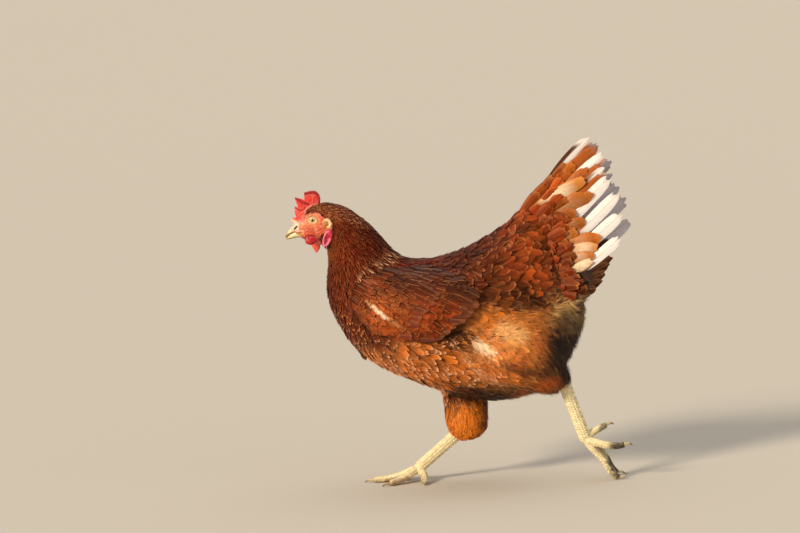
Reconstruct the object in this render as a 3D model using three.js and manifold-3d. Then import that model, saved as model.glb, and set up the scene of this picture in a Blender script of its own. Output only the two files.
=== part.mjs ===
// A brown laying hen in mid stride, life size, as a still model.
// Millimetres, +Z up. The hen faces -X and its left side faces -Y.
// The origin lies on the floor below the middle of the hen's length and width.
import * as THREE from "three";
import { mergeVertices } from "three/addons/utils/BufferGeometryUtils.js";
import Module from "manifold-3d";

const wasm = await Module();
wasm.setup();

// ---------------------------------------------------------------- driving dimensions
const GAP = 0.3; // clearance between neighbouring parts
const SINK = 2.5; // how deep a rooted part starts inside what carries it
const LEFT = -1; // the hen's left side faces -Y
const RIGHT = 1;

// Body sections from the beak's base to the rear fluff. Each runs from its low point to
// its high point [x, z], is `half` wide either side, and `egg` makes its lower part wider.
const BODY = [
  { low: [-200.5, 322.5], high: [-203.5, 341.0], half: 7.4, egg: 0.0 },
  { low: [-194.5, 319.5], high: [-197.5, 346.5], half: 10.4, egg: 0.05 },
  { low: [-187.5, 315.5], high: [-189.5, 353.5], half: 13.4, egg: 0.05 },
  { low: [-179.5, 312.0], high: [-181.0, 358.5], half: 16.0, egg: 0.0 },
  { low: [-171.0, 309.0], high: [-170.5, 361.0], half: 17.6, egg: 0.0 },
  { low: [-163.0, 304.5], high: [-157.0, 361.0], half: 19.5, egg: 0.05 },
  { low: [-161.5, 286.5], high: [-131.0, 350.5], half: 25.0, egg: 0.05 },
  { low: [-165.7, 259.5], high: [-106.0, 328.5], half: 31.0, egg: 0.05 },
  { low: [-163.3, 233.0], high: [-87.0, 304.7], half: 39.0, egg: 0.05 },
  { low: [-152.0, 206.5], high: [-68.0, 288.0], half: 48.0, egg: 0.05 },
  { low: [-132.5, 175.5], high: [-45.5, 284.6], half: 57.0, egg: 0.06 },
  { low: [-99.0, 149.0], high: [-21.5, 286.1], half: 64.0, egg: 0.08 },
  { low: [-56.0, 129.0], high: [5.0, 294.5], half: 67.0, egg: 0.12 },
  { low: [-13.0, 111.5], high: [33.5, 307.0], half: 67.0, egg: 0.16 },
  { low: [36.5, 102.0], high: [61.5, 323.5], half: 64.0, egg: 0.2 },
  { low: [82.0, 109.0], high: [88.0, 343.0], half: 57.0, egg: 0.24 },
  { low: [117.0, 131.0], high: [112.0, 312.0], half: 46.0, egg: 0.2 },
  { low: [140.0, 171.0], high: [136.0, 264.0], half: 29.0, egg: 0.1 },
  { low: [151.0, 196.0], high: [150.5, 232.0], half: 12.0, egg: 0.0 },
];
const BODY_SIDES = 26;
const BODY_STEPS = 2; // rings for each stretch between two body sections

// Planes that part the head from the neck and the neck from the torso.
const NECK_START = { low: [-164.5, 303.0], high: [-143.0, 357.0] };
const TORSO_START = { low: [-152.0, 206.5], high: [-68.0, 288.0] };

const EYE = { x: -179.3, z: 342.6, depth: 11.6, radius: 5.8, lid: 1.5, opening: 3.6 };
const EAR = { x: -161.3, z: 337.8, radius: 4.6, rim: 1.5 };
const LOBE = { x: -162.3, z: 319.2, length: 12.4, width: 5.6, thick: 3.0, tilt: 0.22 };

const MOUTH = { middle: [-196.4, 327], length: 13, slit: 0.5 };
const NOSTRIL = { x: -201.6, z: 333.4, out: 6, radius: 0.8, length: 3.4 };
const BEAK_SIDES = 10;
const BEAK_UPPER = [
  { low: [-198.0, 327.6], high: [-199.5, 340.0], half: 7.2, egg: 0 },
  { low: [-202.5, 326.6], high: [-203.6, 335.6], half: 6.2, egg: 0.1 },
  { low: [-207.5, 324.8], high: [-208.6, 331.0], half: 4.6, egg: 0.1 },
  { low: [-212.0, 322.2], high: [-213.0, 325.6], half: 2.4, egg: 0.1 },
  { low: [-214.4, 320.6], high: [-214.6, 321.8], half: 0.6, egg: 0 },
];
const BEAK_LOWER = [
  { low: [-197.0, 320.8], high: [-198.0, 326.8], half: 6.6, egg: -0.1 },
  { low: [-202.5, 320.0], high: [-202.8, 325.8], half: 5.4, egg: -0.1 },
  { low: [-207.5, 318.8], high: [-207.8, 323.9], half: 3.8, egg: -0.1 },
  { low: [-211.6, 318.3], high: [-212.0, 321.4], half: 2.0, egg: -0.1 },
  { low: [-213.2, 318.9], high: [-213.4, 320.0], half: 0.7, egg: 0 },
];

// Each point of the comb: a path from the crown to its tip, and its half depth along it.
const COMB_POINTS = [
  { path: [[-199, 0, 340], [-203, -0.5, 342.5], [-206, -1, 342.5]], deep: [4, 3.4, 1] },
  { path: [[-190, 0, 345], [-196, 0.5, 352], [-200.5, 1.5, 358.5]], deep: [8, 6, 1] },
  { path: [[-184, 0, 350], [-191, -1, 361], [-200, -2.5, 370.8]], deep: [10, 7.5, 1] },
  { path: [[-178, 0, 353], [-181, -1, 366], [-187.5, -3, 376.5]], deep: [9, 9, 1.6] },
  { path: [[-174.5, 0, 354], [-174, -0.5, 367], [-176, -2.5, 377]], deep: [4.5, 6.4, 4.4] },
];
const COMB_HALF = [2.3, 1.7, 0.9]; // half thickness from crown to tip
const WATTLES = {
  left: { path: [[-183, -6, 322], [-184.5, -9, 317], [-184, -9.5, 312.4]], deep: [5, 6.6, 3] },
  right: { path: [[-177, 6, 320], [-176, 9, 311], [-177.3, 9.5, 301]], deep: [4.5, 5.2, 0.8] },
};
const WATTLE_HALF = [1.8, 2.3, 0.9];

const VANE = { edge: 0.7, shaft: 1.2, seed: 7, vary: 0.04 };
// Places along a feather and its width there, for long feathers and for coverts.
const LONG = [[0, 0.25], [0.3, 0.8], [0.62, 1], [0.88, 0.78], [1, 0.34]];
const SHORT = [[0, 0.3], [0.45, 1], [0.84, 0.86], [1, 0.4]];

// Feather fans in the side view. Roots run from rootTop to rootLow, and each feather leaves
// its root at an angle from +X. The top feather overlies the next one down.
const WING_PAD = {
  top: [[-133, 243], [-118, 262], [-88, 270], [-50, 268], [-18, 256]],
  low: [[-133, 240], [-118, 220], [-86, 203], [-50, 196], [-18, 206]],
  bulge: 7,
  rim: 3,
  columns: 6,
  rows: 4,
};
const WING_FANS = [
  // flight feathers, then greater, median and lesser coverts
  { count: 8, rootTop: [-72, 262], rootLow: [-92, 208], angles: [-9, -12], lengths: [94, 62],
    shape: LONG, swell: 4, half: [10, 7], bow: [7, 3], lift: [-SINK, 3.0], roll: 0.24 },
  { count: 6, rootTop: [-96, 263], rootLow: [-112, 215], angles: [-8, -26], lengths: [54, 40],
    shape: SHORT, swell: 3, half: [9, 7.5], bow: [3, 2], lift: [-SINK, 2.8], roll: 0.22 },
  { count: 5, rootTop: [-114, 257], rootLow: [-124, 222], angles: [-6, -34], lengths: [40, 30],
    shape: SHORT, swell: 2, half: [8.5, 7], bow: [2, 1], lift: [-SINK, 2.6], roll: 0.22 },
  { count: 4, rootTop: [-127, 250], rootLow: [-131, 230], angles: [0, -46], lengths: [30, 22],
    shape: SHORT, swell: 1, half: [7.5, 6.5], bow: [1, 1], lift: [-SINK, 2.4], roll: 0.22 },
];

// The tail is a tent of two fans, measured along its axis and across it in the side view.
const TENT = {
  base: [119, 283],
  angle: 47, // degrees above the floor
  ridge: 72, // from the axis up to the ridge
  eave: -62, // from the axis down to the lower edge
  top: 0.4, // half width at the ridge
  slope: 0.31, // how fast the sides spread below the ridge
  narrowing: 0.0016, // how fast they close towards the tips
};
const TAIL_CORE = { from: -34, to: 56, columns: 5, rows: 5, taper: 0.88 };
const TAIL_FANS = [
  // main tail feathers, then long and short coverts
  { count: 8, rootTop: [90, 318], rootLow: [126, 241], angles: [58, 38], lengths: [127, 90],
    shape: LONG, swell: 17, half: [11, 9.5], bow: [-4, -4], lift: [-4, 1.5], roll: 0.15 },
  { count: 6, rootTop: [84, 318], rootLow: [122, 238], angles: [57, 34], lengths: [92, 58],
    shape: SHORT, swell: 8, half: [11, 9.5], bow: [-3, -3], lift: [-3, 3.4], roll: 0.15 },
  { count: 5, rootTop: [82, 310], rootLow: [118, 236], angles: [55, 30], lengths: [62, 42],
    shape: SHORT, swell: 4, half: [10.5, 9.5], bow: [-3, -2], lift: [-3, 4.6], roll: 0.15 },
];
const FAR_SPREAD = { turn: -4, reach: 1.04 }; // the right half is fanned lower and longer
// Legs: each path runs down the feathered leg and then down the bare shank.
const LEGS = {
  left: {
    side: LEFT,
    thigh: [[30, -40, 214], [46, -49, 194], [70, -53, 165], [98, -45, 142], [112, -37, 129],
      [118, -35, 119]],
    thighDeep: [24, 40, 44, 28, 21, 12],
    thighWide: [14, 22, 26, 21, 17, 10],
    hock: [120.5, -34, 133],
    joint: [147.5, -32, 50],
    toes: {
      middle: [[156, -35, 40], [168, -38, 26], [178, -41, 9], [186, -43, 3.2]],
      outer: [[160, -39, 48], [173, -45, 45], [186, -50, 44.5], [194, -52, 46]],
      inner: [[159, -25, 43], [170, -19, 29], [178, -15, 13], [185, -13, 4.4]],
      hallux: [[155, -27, 58.5], [165, -25, 63.5], [174, -24, 67.5]],
    },
    claws: {
      middle: [[186, -43, 3.2], [192, -44, 4.2], [197, -44, 8]],
      outer: [[194, -52, 46], [200, -53, 47], [204.5, -53.5, 44.5]],
      inner: [[185, -13, 4.4], [191, -12, 4.6], [196, -11, 1.6]],
      hallux: [[174, -24, 67.5], [179.5, -23, 69], [183.5, -23, 67]],
    },
  },
  right: {
    side: RIGHT,
    thigh: [[14, 50, 184], [2, 48, 140], [0, 34, 104], [0.5, 26, 76], [3, 24, 60],
      [4.5, 24, 51.5]],
    thighDeep: [36, 38, 28, 26.5, 23, 11],
    thighWide: [20, 27, 25, 23, 19, 9],
    hock: [7, 24, 73],
    joint: [-64, 22, 16.5],
    toes: {
      middle: [[-80, 24, 10], [-95, 26, 5.2], [-110, 28, 3.6], [-120, 29, 3.2]],
      outer: [[-74, 36, 9], [-84, 44, 4.4], [-93, 51, 3.2]],
      inner: [[-78, 12, 9], [-90, 4, 4.4], [-100, -3, 3.2]],
      hallux: [[-57, 12, 10.5], [-56, 2, 4.4], [-56, -7, 3.2]],
    },
    claws: {
      middle: [[-120, 29, 3.2], [-127, 30, 3.4], [-132, 30.5, 0.9]],
      outer: [[-93, 51, 3.2], [-98, 55, 3.4], [-102, 58, 0.9]],
      inner: [[-100, -3, 3.2], [-106, -7, 3.4], [-110, -10, 0.9]],
      hallux: [[-56, -7, 3.2], [-56, -13, 3.4], [-56.5, -18, 0.9]],
    },
  },
};
const SHANK = { front: 7.8, wide: 5.8, sides: 8 };
const TOE = { root: 5.8, tip: 3.8, sides: 7 };
const SCUTE = { length: 7, step: 0.6 }; // each plate and how far its lower edge stands up
const CLAW = { root: 2.7, tip: 0.5, sides: 5, steps: 2 };

// ---------------------------------------------------------------- solids from rings
const vec = (x, y, z) => new THREE.Vector3(x, y, z);

function solidFrom(points, faces) {
  const vertProperties = new Float32Array(points.flatMap((p) => [p.x, p.y, p.z]));
  let volume = 0;
  for (let f = 0; f < faces.length; f += 3) {
    const [a, b, c] = [points[faces[f]], points[faces[f + 1]], points[faces[f + 2]]];
    volume += a.dot(b.clone().cross(c));
  }
  const outward = volume < 0 ? faces.slice().reverse() : faces;
  const mesh = new wasm.Mesh({ numProp: 3, vertProperties, triVerts: new Uint32Array(outward) });
  return new wasm.Manifold(mesh);
}

// Closes a stack of rings with equal counts into one solid, capped at both ends.
function loft(rings) {
  const sides = rings[0].length;
  const points = rings.flat();
  const faces = [];
  for (let j = 0; j < rings.length - 1; j += 1) {
    for (let k = 0; k < sides; k += 1) {
      const a = j * sides + k;
      const b = j * sides + ((k + 1) % sides);
      faces.push(a, b, b + sides, a, b + sides, a + sides);
    }
  }
  for (const [ring, start] of [[rings[0], 0], [rings.at(-1), (rings.length - 1) * sides]]) {
    const hub = points.length;
    points.push(ring.reduce((sum, p) => sum.add(p), vec(0, 0, 0)).divideScalar(sides));
    for (let k = 0; k < sides; k += 1) {
      const a = start + k;
      const b = start + ((k + 1) % sides);
      faces.push(...(start === 0 ? [b, a, hub] : [a, b, hub]));
    }
  }
  return solidFrom(points, faces);
}

function fromGeometry(geometry) {
  const bare = geometry.clone();
  bare.deleteAttribute("normal");
  bare.deleteAttribute("uv");
  const merged = mergeVertices(bare, 1e-4);
  const at = merged.attributes.position;
  const points = [];
  for (let i = 0; i < at.count; i += 1) points.push(vec(at.getX(i), at.getY(i), at.getZ(i)));
  return solidFrom(points, [...merged.index.array]);
}

function toGeometry(solid) {
  const mesh = solid.getMesh();
  const geometry = new THREE.BufferGeometry();
  geometry.setAttribute("position", new THREE.BufferAttribute(mesh.vertProperties, mesh.numProp));
  geometry.setIndex(new THREE.BufferAttribute(mesh.triVerts, 1));
  geometry.computeVertexNormals();
  return geometry;
}

// The largest closed surface of a solid: loose scraps and sealed hollows go.
function largest(solid) {
  const pieces = solid.decompose();
  return pieces.reduce((best, piece) => (piece.volume() > best.volume() ? piece : best));
}

const union = (solids) => solids.reduce((all, solid) => all.add(solid));

// ---------------------------------------------------------------- sections and sweeps
function stationCurves(stations) {
  const curve = (pick) => new THREE.CatmullRomCurve3(stations.map(pick), false, "catmullrom", 0.5);
  return {
    low: curve((s) => vec(s.low[0], 0, s.low[1])),
    high: curve((s) => vec(s.high[0], 0, s.high[1])),
    size: curve((s) => vec(s.half, s.egg * 100, 0)),
  };
}

function sectionAt(curves, t) {
  const low = curves.low.getPoint(t);
  const high = curves.high.getPoint(t);
  const size = curves.size.getPoint(t);
  return { low, high, half: size.x, egg: size.y / 100 };
}

// Half width of a section at a height that runs from -1, low, to +1, high.
function halfWidth(section, rise) {
  return section.half * Math.sqrt(Math.max(0, 1 - rise * rise)) * (1 - section.egg * rise);
}

function sectionRing(section, sides, grow) {
  const middle = section.low.clone().add(section.high).multiplyScalar(0.5);
  const reach = section.high.clone().sub(section.low).multiplyScalar(0.5);
  const scale = 1 + grow / reach.length();
  const ring = [];
  for (let k = 0; k < sides; k += 1) {
    const angle = (2 * Math.PI * k) / sides;
    const rise = -Math.cos(angle);
    const width = halfWidth(section, rise) * (1 + grow / section.half) * Math.sign(Math.sin(angle));
    ring.push(middle.clone().addScaledVector(reach, rise * scale).add(vec(0, width, 0)));
  }
  return ring;
}

function stationLoft(stations, sides, stepsEach, grow = 0) {
  const curves = stationCurves(stations);
  const steps = (stations.length - 1) * stepsEach;
  const rings = [];
  for (let j = 0; j <= steps; j += 1) {
    rings.push(sectionRing(sectionAt(curves, j / steps), sides, grow));
  }
  if (grow > 0) {
    const nudge = (ring, next) => {
      const away = ring[0].clone().sub(next[0]).normalize().multiplyScalar(grow);
      ring.forEach((p) => p.add(away));
    };
    nudge(rings[0], rings[1]);
    nudge(rings.at(-1), rings.at(-2));
  }
  return loft(rings);
}

const bodyCurves = stationCurves(BODY);

// How far the body's flank stands out from the middle plane at a side view point.
function flank(x, z) {
  const point = vec(x, 0, z);
  let before = 0;
  let after = 1;
  for (let i = 0; i < 40; i += 1) {
    const t = (before + after) / 2;
    const { low, high } = sectionAt(bodyCurves, t);
    const along = high.clone().sub(low);
    const to = point.clone().sub(low);
    if (along.x * to.z - along.z * to.x > 0) after = t;
    else before = t;
  }
  const section = sectionAt(bodyCurves, (before + after) / 2);
  const middle = section.low.clone().add(section.high).multiplyScalar(0.5);
  const reach = section.high.clone().sub(section.low).multiplyScalar(0.5);
  const rise = point.sub(middle).dot(reach) / reach.lengthSq();
  return halfWidth(section, rise);
}

// Where along a path the rings lie. Plates give two rings each: one flush at the upper
// edge and one raised at the lower edge, so that each plate overlaps the next.
function ringPlaces(count, plates) {
  if (!plates) return Array.from({ length: count + 1 }, (_, j) => ({ t: j / count, raise: 0 }));
  const places = [];
  for (let i = 0; i < plates; i += 1) {
    places.push({ t: (i + 0.04) / plates, raise: 0 });
    places.push({ t: (i + 0.97) / plates, raise: SCUTE.step });
  }
  places[0].t = 0;
  places.push({ t: 1, raise: 0 });
  return places;
}

// Sweeps an oval along a path: `deep` is its radius in the side view, `wide` across it.
// Plates stand up on the side that faces away from the sole.
function sweep(path, deep, wide, sides, steps, { grow = 0, plates = 0 } = {}) {
  const curve = new THREE.CatmullRomCurve3(path.map((p) => vec(...p)), false, "catmullrom", 0.5);
  const last = path.length - 1;
  const mix = (list, t) => {
    const at = Math.min(Math.floor(t * last), last - 1);
    return THREE.MathUtils.lerp(list[at], list[at + 1], t * last - at);
  };
  const rings = ringPlaces(last * steps, plates).map(({ t, raise }) => {
    const along = curve.getTangent(t);
    const across = vec(0, 1, 0).addScaledVector(along, -along.y).normalize();
    const sole = along.clone().cross(across);
    const end = t === 0 ? -grow : grow * Math.floor(t);
    const centre = curve.getPoint(t).addScaledVector(along, end);
    return Array.from({ length: sides }, (_, k) => {
      const angle = (2 * Math.PI * (k + 0.5)) / sides;
      const lift = raise * Math.max(0, -Math.cos(angle)) + grow;
      const p = centre.clone();
      p.addScaledVector(across, Math.sin(angle) * (mix(wide, t) + lift));
      p.addScaledVector(sole, Math.cos(angle) * (mix(deep, t) + lift));
      return p;
    });
  });
  return loft(rings);
}

// Keeps what lies behind the plane through a section's low and high point, in +X.
function planeOf({ low, high }) {
  const normal = vec(high[1] - low[1], 0, low[0] - high[0]).normalize();
  return { normal: normal.toArray(), offset: normal.x * low[0] + normal.z * low[1] };
}

const behind = (solid, plane, gap) => solid.trimByPlane(plane.normal, plane.offset + gap);
const ahead = (solid, plane, gap) =>
  solid.trimByPlane(plane.normal.map((n) => -n), -(plane.offset - gap));

// ---------------------------------------------------------------- the part's group
const hen = new THREE.Group();
hen.name = "hen";

function add(name, solid, color, roughness = 0.7) {
  const material = new THREE.MeshStandardMaterial({ color, roughness, metalness: 0 });
  const mesh = new THREE.Mesh(toGeometry(largest(solid)), material);
  mesh.name = name;
  hen.add(mesh);
}

const COLOR = {
  neck: 0x6a2412,
  torso: 0x7a3416,
  wing: 0x7e3818,
  tail: 0xc07a3c,
  thigh: 0xc4681c,
  face: 0xe0604a,
  comb: 0xe04a40,
  wattle: 0xc81e2c,
  lobe: 0xe87080,
  beak: 0xe0c890,
  eye: 0xc8a050,
  leg: 0xead6a4,
  claw: 0xb8a078,
};

// ---------------------------------------------------------------- head, neck and torso
const bodyRaw = stationLoft(BODY, BODY_SIDES, BODY_STEPS);
const bodyGrown = stationLoft(BODY, BODY_SIDES, BODY_STEPS, GAP);
const neckPlane = planeOf(NECK_START);
const torsoPlane = planeOf(TORSO_START);

const eyeBall = (side, radius) => {
  const ball = fromGeometry(new THREE.SphereGeometry(radius, 12, 9));
  return ball.translate([EYE.x, side * EYE.depth, EYE.z]);
};

const lidRing = (side) => {
  const middle = EYE.opening + EYE.lid;
  const ring = new THREE.TorusGeometry(middle, EYE.lid, 4, 14);
  ring.rotateX(Math.PI / 2);
  const face = flank(EYE.x, EYE.z);
  return fromGeometry(ring).translate([EYE.x, side * (face - 0.1), EYE.z]);
};

const earRim = (side) => {
  const path = [];
  for (let i = 0; i <= 6; i += 1) {
    const angle = THREE.MathUtils.degToRad(-70 + i * 40);
    const x = EAR.x + EAR.radius * Math.cos(angle);
    const z = EAR.z + EAR.radius * Math.sin(angle);
    path.push([x, side * flank(x, z), z]);
  }
  const thick = [0.4, 0.8, 1, 1, 1, 0.8, 0.4].map((f) => f * EAR.rim);
  return sweep(path, thick, thick, 6, 1);
};

const mouthCut = () => {
  const slit = new THREE.BoxGeometry(MOUTH.length, 4 * BODY[0].half, MOUTH.slit);
  return fromGeometry(slit).translate([MOUTH.middle[0], 0, MOUTH.middle[1]]);
};

let head = ahead(bodyRaw, neckPlane, GAP / 2);
for (const side of [LEFT, RIGHT]) {
  head = head.add(lidRing(side)).add(earRim(side)).subtract(eyeBall(side, EYE.radius + GAP));
}
add("head", head.subtract(mouthCut()), COLOR.face, 0.6);
add("neck", ahead(behind(bodyRaw, neckPlane, GAP / 2), torsoPlane, GAP / 2), COLOR.neck);
add("torso", behind(bodyRaw, torsoPlane, GAP / 2), COLOR.torso);

for (const [name, side] of [["left", LEFT], ["right", RIGHT]]) {
  add(`eye_${name}`, eyeBall(side, EYE.radius), COLOR.eye, 0.1);
}

// ---------------------------------------------------------------- beak
const upperRaw = stationLoft(BEAK_UPPER, BEAK_SIDES, 2);
const upperGrown = stationLoft(BEAK_UPPER, BEAK_SIDES, 2, GAP);
const nostril = (side) => {
  const slit = new THREE.CapsuleGeometry(NOSTRIL.radius, NOSTRIL.length, 3, 8);
  slit.rotateZ(-Math.PI / 4);
  return fromGeometry(slit).translate([NOSTRIL.x, side * NOSTRIL.out, NOSTRIL.z]);
};
const upper = upperRaw.subtract(bodyGrown).subtract(nostril(LEFT)).subtract(nostril(RIGHT));
add("beak_upper", upper, COLOR.beak, 0.4);
add(
  "beak_lower",
  stationLoft(BEAK_LOWER, BEAK_SIDES, 2).subtract(upperGrown).subtract(bodyGrown),
  COLOR.beak,
  0.4,
);

// ---------------------------------------------------------------- comb, wattles, earlobes
const comb = union(
  COMB_POINTS.map(({ path, deep }) => sweep(path, deep, COMB_HALF, 6, 3)),
);
add("comb", comb.subtract(bodyGrown).subtract(upperGrown), COLOR.comb, 0.55);

for (const [name, { path, deep }] of Object.entries(WATTLES)) {
  const folds = sweep(path, deep, WATTLE_HALF, 10, 3);
  add(`wattle_${name}`, folds.subtract(bodyGrown), COLOR.wattle, 0.5);
}

for (const [name, side] of [["left", LEFT], ["right", RIGHT]]) {
  const disc = new THREE.SphereGeometry(1, 14, 8);
  disc.scale(LOBE.width, LOBE.thick, LOBE.length);
  disc.rotateY(LOBE.tilt);
  const face = flank(LOBE.x, LOBE.z);
  const lobe = fromGeometry(disc).translate([LOBE.x, side * face, LOBE.z]);
  add(`earlobe_${name}`, lobe.subtract(bodyGrown), COLOR.lobe, 0.5);
}

// ---------------------------------------------------------------- legs
const pathLength = (path) =>
  path.slice(1).reduce((sum, p, i) => sum + vec(...p).distanceTo(vec(...path[i])), 0);
const platesOn = (path) => Math.round(pathLength(path) / SCUTE.length);
const onFloor = (solid) => solid.trimByPlane([0, 0, 1], 0);

const thighsGrown = {};
for (const [name, leg] of Object.entries(LEGS)) {
  const thigh = (grow) => sweep(leg.thigh, leg.thighDeep, leg.thighWide, 14, 3, { grow });
  thighsGrown[name] = thigh(GAP);
  add(`thigh_${name}`, thigh(0).subtract(bodyGrown), COLOR.thigh, 0.85);

  const shank = (options) => {
    const path = [leg.hock, leg.hock.map((c, i) => (c + leg.joint[i]) / 2), leg.joint];
    const deep = [SHANK.front * 1.08, SHANK.front * 0.95, SHANK.front * 0.95];
    const wide = [SHANK.wide, SHANK.wide * 0.9, SHANK.wide * 1.1];
    return sweep(path, deep, wide, SHANK.sides, 3, options);
  };
  const plated = shank({ plates: platesOn([leg.hock, leg.joint]) });
  add(`shank_${name}`, plated.subtract(thighsGrown[name]), COLOR.leg, 0.5);

  let taken = shank({ grow: GAP + SCUTE.step });
  for (const [toeName, path] of Object.entries(leg.toes)) {
    const full = [leg.joint, ...path];
    const radii = full.map((p, i) => THREE.MathUtils.lerp(TOE.root, TOE.tip, i / path.length));
    const toe = (options) => sweep(full, radii, radii, TOE.sides, 3, options);
    const toeGrown = toe({ grow: GAP });
    const bend = leg.claws[toeName];
    const slim = [CLAW.root, CLAW.root * 0.75, CLAW.tip];
    const claw = sweep(bend, slim, slim.map((r) => r * 0.8), CLAW.sides, CLAW.steps);
    const scutes = toe({ plates: platesOn(full) });
    add(`toe_${name}_${toeName}`, onFloor(scutes.subtract(taken)), COLOR.leg, 0.5);
    add(`claw_${name}_${toeName}`, onFloor(claw.subtract(toeGrown)), COLOR.claw, 0.4);
    taken = taken.add(toe({ grow: GAP + SCUTE.step }));
  }
}

// ---------------------------------------------------------------- feathers
let seed = VANE.seed;
function random() {
  seed = (seed * 1664525 + 1013904223) % 4294967296;
  return seed / 4294967296;
}
const around = (value) => value * (1 + VANE.vary * (2 * random() - 1));
const direction = (degrees) => {
  const angle = THREE.MathUtils.degToRad(degrees);
  return [Math.cos(angle), Math.sin(angle)];
};

// One flat feather that hugs a surface. `face(x, z)` is the surface's distance from the
// middle plane; the feather's two faces are split into triangles alike.
function vane({ shape, root, tip, half, bow, lift, roll, side, face }) {
  const [dx, dz] = [tip[0] - root[0], tip[1] - root[1]];
  const length = Math.hypot(dx, dz);
  const across = [-dz / length, dx / length];
  const rings = shape.map(([s, width]) => {
    const bend = bow * 4 * s * (1 - s);
    const rows = [-1, 0, 1].map((q) => {
      const off = bend + q * width * half;
      const x = root[0] + dx * s + across[0] * off;
      const z = root[1] + dz * s + across[1] * off;
      const y = face(x, z) + THREE.MathUtils.lerp(lift[0], lift[1], s) - roll * q * width * half;
      const thick = q === 0 ? VANE.shaft : VANE.edge;
      return [vec(x, side * (y + thick), z), vec(x, side * y, z)];
    });
    return [...rows.map((r) => r[0]), ...rows.map((r) => r[1])];
  });
  const points = rings.flat();
  const faces = [];
  const quad = (a, b, c, d) => faces.push(a, b, c, a, c, d);
  const last = rings.length - 1;
  for (let j = 0; j < last; j += 1) {
    const [near, next] = [j * 6, (j + 1) * 6];
    for (const q of [0, 1]) {
      quad(near + q, near + q + 1, next + q + 1, next + q);
      faces.push(near + q + 3, next + q + 4, near + q + 4, near + q + 3, next + q + 3, next + q + 4);
    }
    quad(near, next, next + 3, near + 3);
    quad(near + 2, near + 5, next + 5, next + 2);
  }
  const tail = last * 6;
  for (const q of [0, 1]) {
    quad(q, q + 3, q + 4, q + 1);
    quad(tail + q, tail + q + 1, tail + q + 4, tail + q + 3);
  }
  return solidFrom(points, faces);
}

// The feathers of one fan, from its top feather down.
function fan(spec, side, face, turn = 0, reach = 1) {
  const lerp = THREE.MathUtils.lerp;
  return Array.from({ length: spec.count }, (_, i) => {
    const t = i / (spec.count - 1);
    const root = [0, 1].map((k) => lerp(spec.rootTop[k], spec.rootLow[k], t));
    const way = direction(lerp(spec.angles[0], spec.angles[1], t) + turn);
    const plain = lerp(spec.lengths[0], spec.lengths[1], t) + spec.swell * 4 * t * (1 - t);
    const length = around(plain) * reach;
    const tip = [root[0] + way[0] * length, root[1] + way[1] * length];
    const half = lerp(spec.half[0], spec.half[1], t);
    const bow = around(lerp(spec.bow[0], spec.bow[1], t));
    const { shape, lift, roll } = spec;
    return vane({ shape, root, tip, half, bow, lift, roll, side, face });
  });
}

// A closed pad between the middle plane's side and a face, over a grid in the side view.
function pad(columns, rows, side, place, outer, inner) {
  const rings = [];
  for (let j = 0; j <= columns; j += 1) {
    const out = [];
    const back = [];
    for (let k = 0; k <= rows; k += 1) {
      const p = place(j / columns, k / rows);
      out.push(vec(p.x, side * outer(p, k / rows), p.z));
      back.unshift(vec(p.x, side * inner(p), p.z));
    }
    rings.push([...out, ...back]);
  }
  return loft(rings);
}

// ---------------------------------------------------------------- wings
const wingTop = new THREE.CatmullRomCurve3(WING_PAD.top.map(([x, z]) => vec(x, 0, z)));
const wingLow = new THREE.CatmullRomCurve3(WING_PAD.low.map(([x, z]) => vec(x, 0, z)));
const wingMiddle = (WING_PAD.top[2][1] + WING_PAD.low[2][1]) / 2;
const wingReach = (WING_PAD.top[2][1] - WING_PAD.low[2][1]) / 2;

// The wing's outer face swells over the flank and thins towards its upper edge.
function wingFace(x, z) {
  const across = THREE.MathUtils.clamp((z - wingMiddle) / (wingReach * 1.35), -1, 1);
  const swell = Math.sqrt(1 - across * across);
  return flank(x, z) + WING_PAD.rim + WING_PAD.bulge * swell;
}

for (const [name, side] of [["left", LEFT], ["right", RIGHT]]) {
  const place = (u, v) => wingTop.getPoint(u).lerp(wingLow.getPoint(u), v);
  const outer = (p) => wingFace(p.x, p.z);
  const inner = (p) => flank(p.x, p.z) - SINK;
  const core = pad(WING_PAD.columns, WING_PAD.rows, side, place, outer, inner);
  const vanes = WING_FANS.flatMap((spec) => fan(spec, side, wingFace));
  const shape = union([core, ...vanes]).subtract(bodyGrown).subtract(thighsGrown[name]);
  add(`wing_${name}`, shape, COLOR.wing, 0.7);
}

// ---------------------------------------------------------------- tail
const tailWay = direction(TENT.angle);

// Along the tail's axis and across it, from a side view point.
function inTail(x, z) {
  const [dx, dz] = [x - TENT.base[0], z - TENT.base[1]];
  return { a: dx * tailWay[0] + dz * tailWay[1], c: dz * tailWay[0] - dx * tailWay[1] };
}

function tentFace(x, z) {
  const { a, c } = inTail(x, z);
  const down = Math.max(0, TENT.ridge - c);
  return TENT.top + down * TENT.slope * (1 - TENT.narrowing * Math.max(0, a));
}

function tailCore() {
  const rings = [];
  for (let j = 0; j <= TAIL_CORE.columns; j += 1) {
    const u = j / TAIL_CORE.columns;
    const a = THREE.MathUtils.lerp(TAIL_CORE.from, TAIL_CORE.to, u);
    const full = Math.sqrt(1 - TAIL_CORE.taper * u ** 3);
    const right = [];
    const left = [];
    for (let k = 0; k <= TAIL_CORE.rows; k += 1) {
      const c = full * THREE.MathUtils.lerp(TENT.ridge - 4, TENT.eave, k / TAIL_CORE.rows);
      const x = TENT.base[0] + a * tailWay[0] - c * tailWay[1];
      const z = TENT.base[1] + a * tailWay[1] + c * tailWay[0];
      const y = tentFace(x, z) * full;
      right.push(vec(x, y, z));
      left.unshift(vec(x, -y, z));
    }
    rings.push([...right, ...left]);
  }
  return loft(rings);
}

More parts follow.
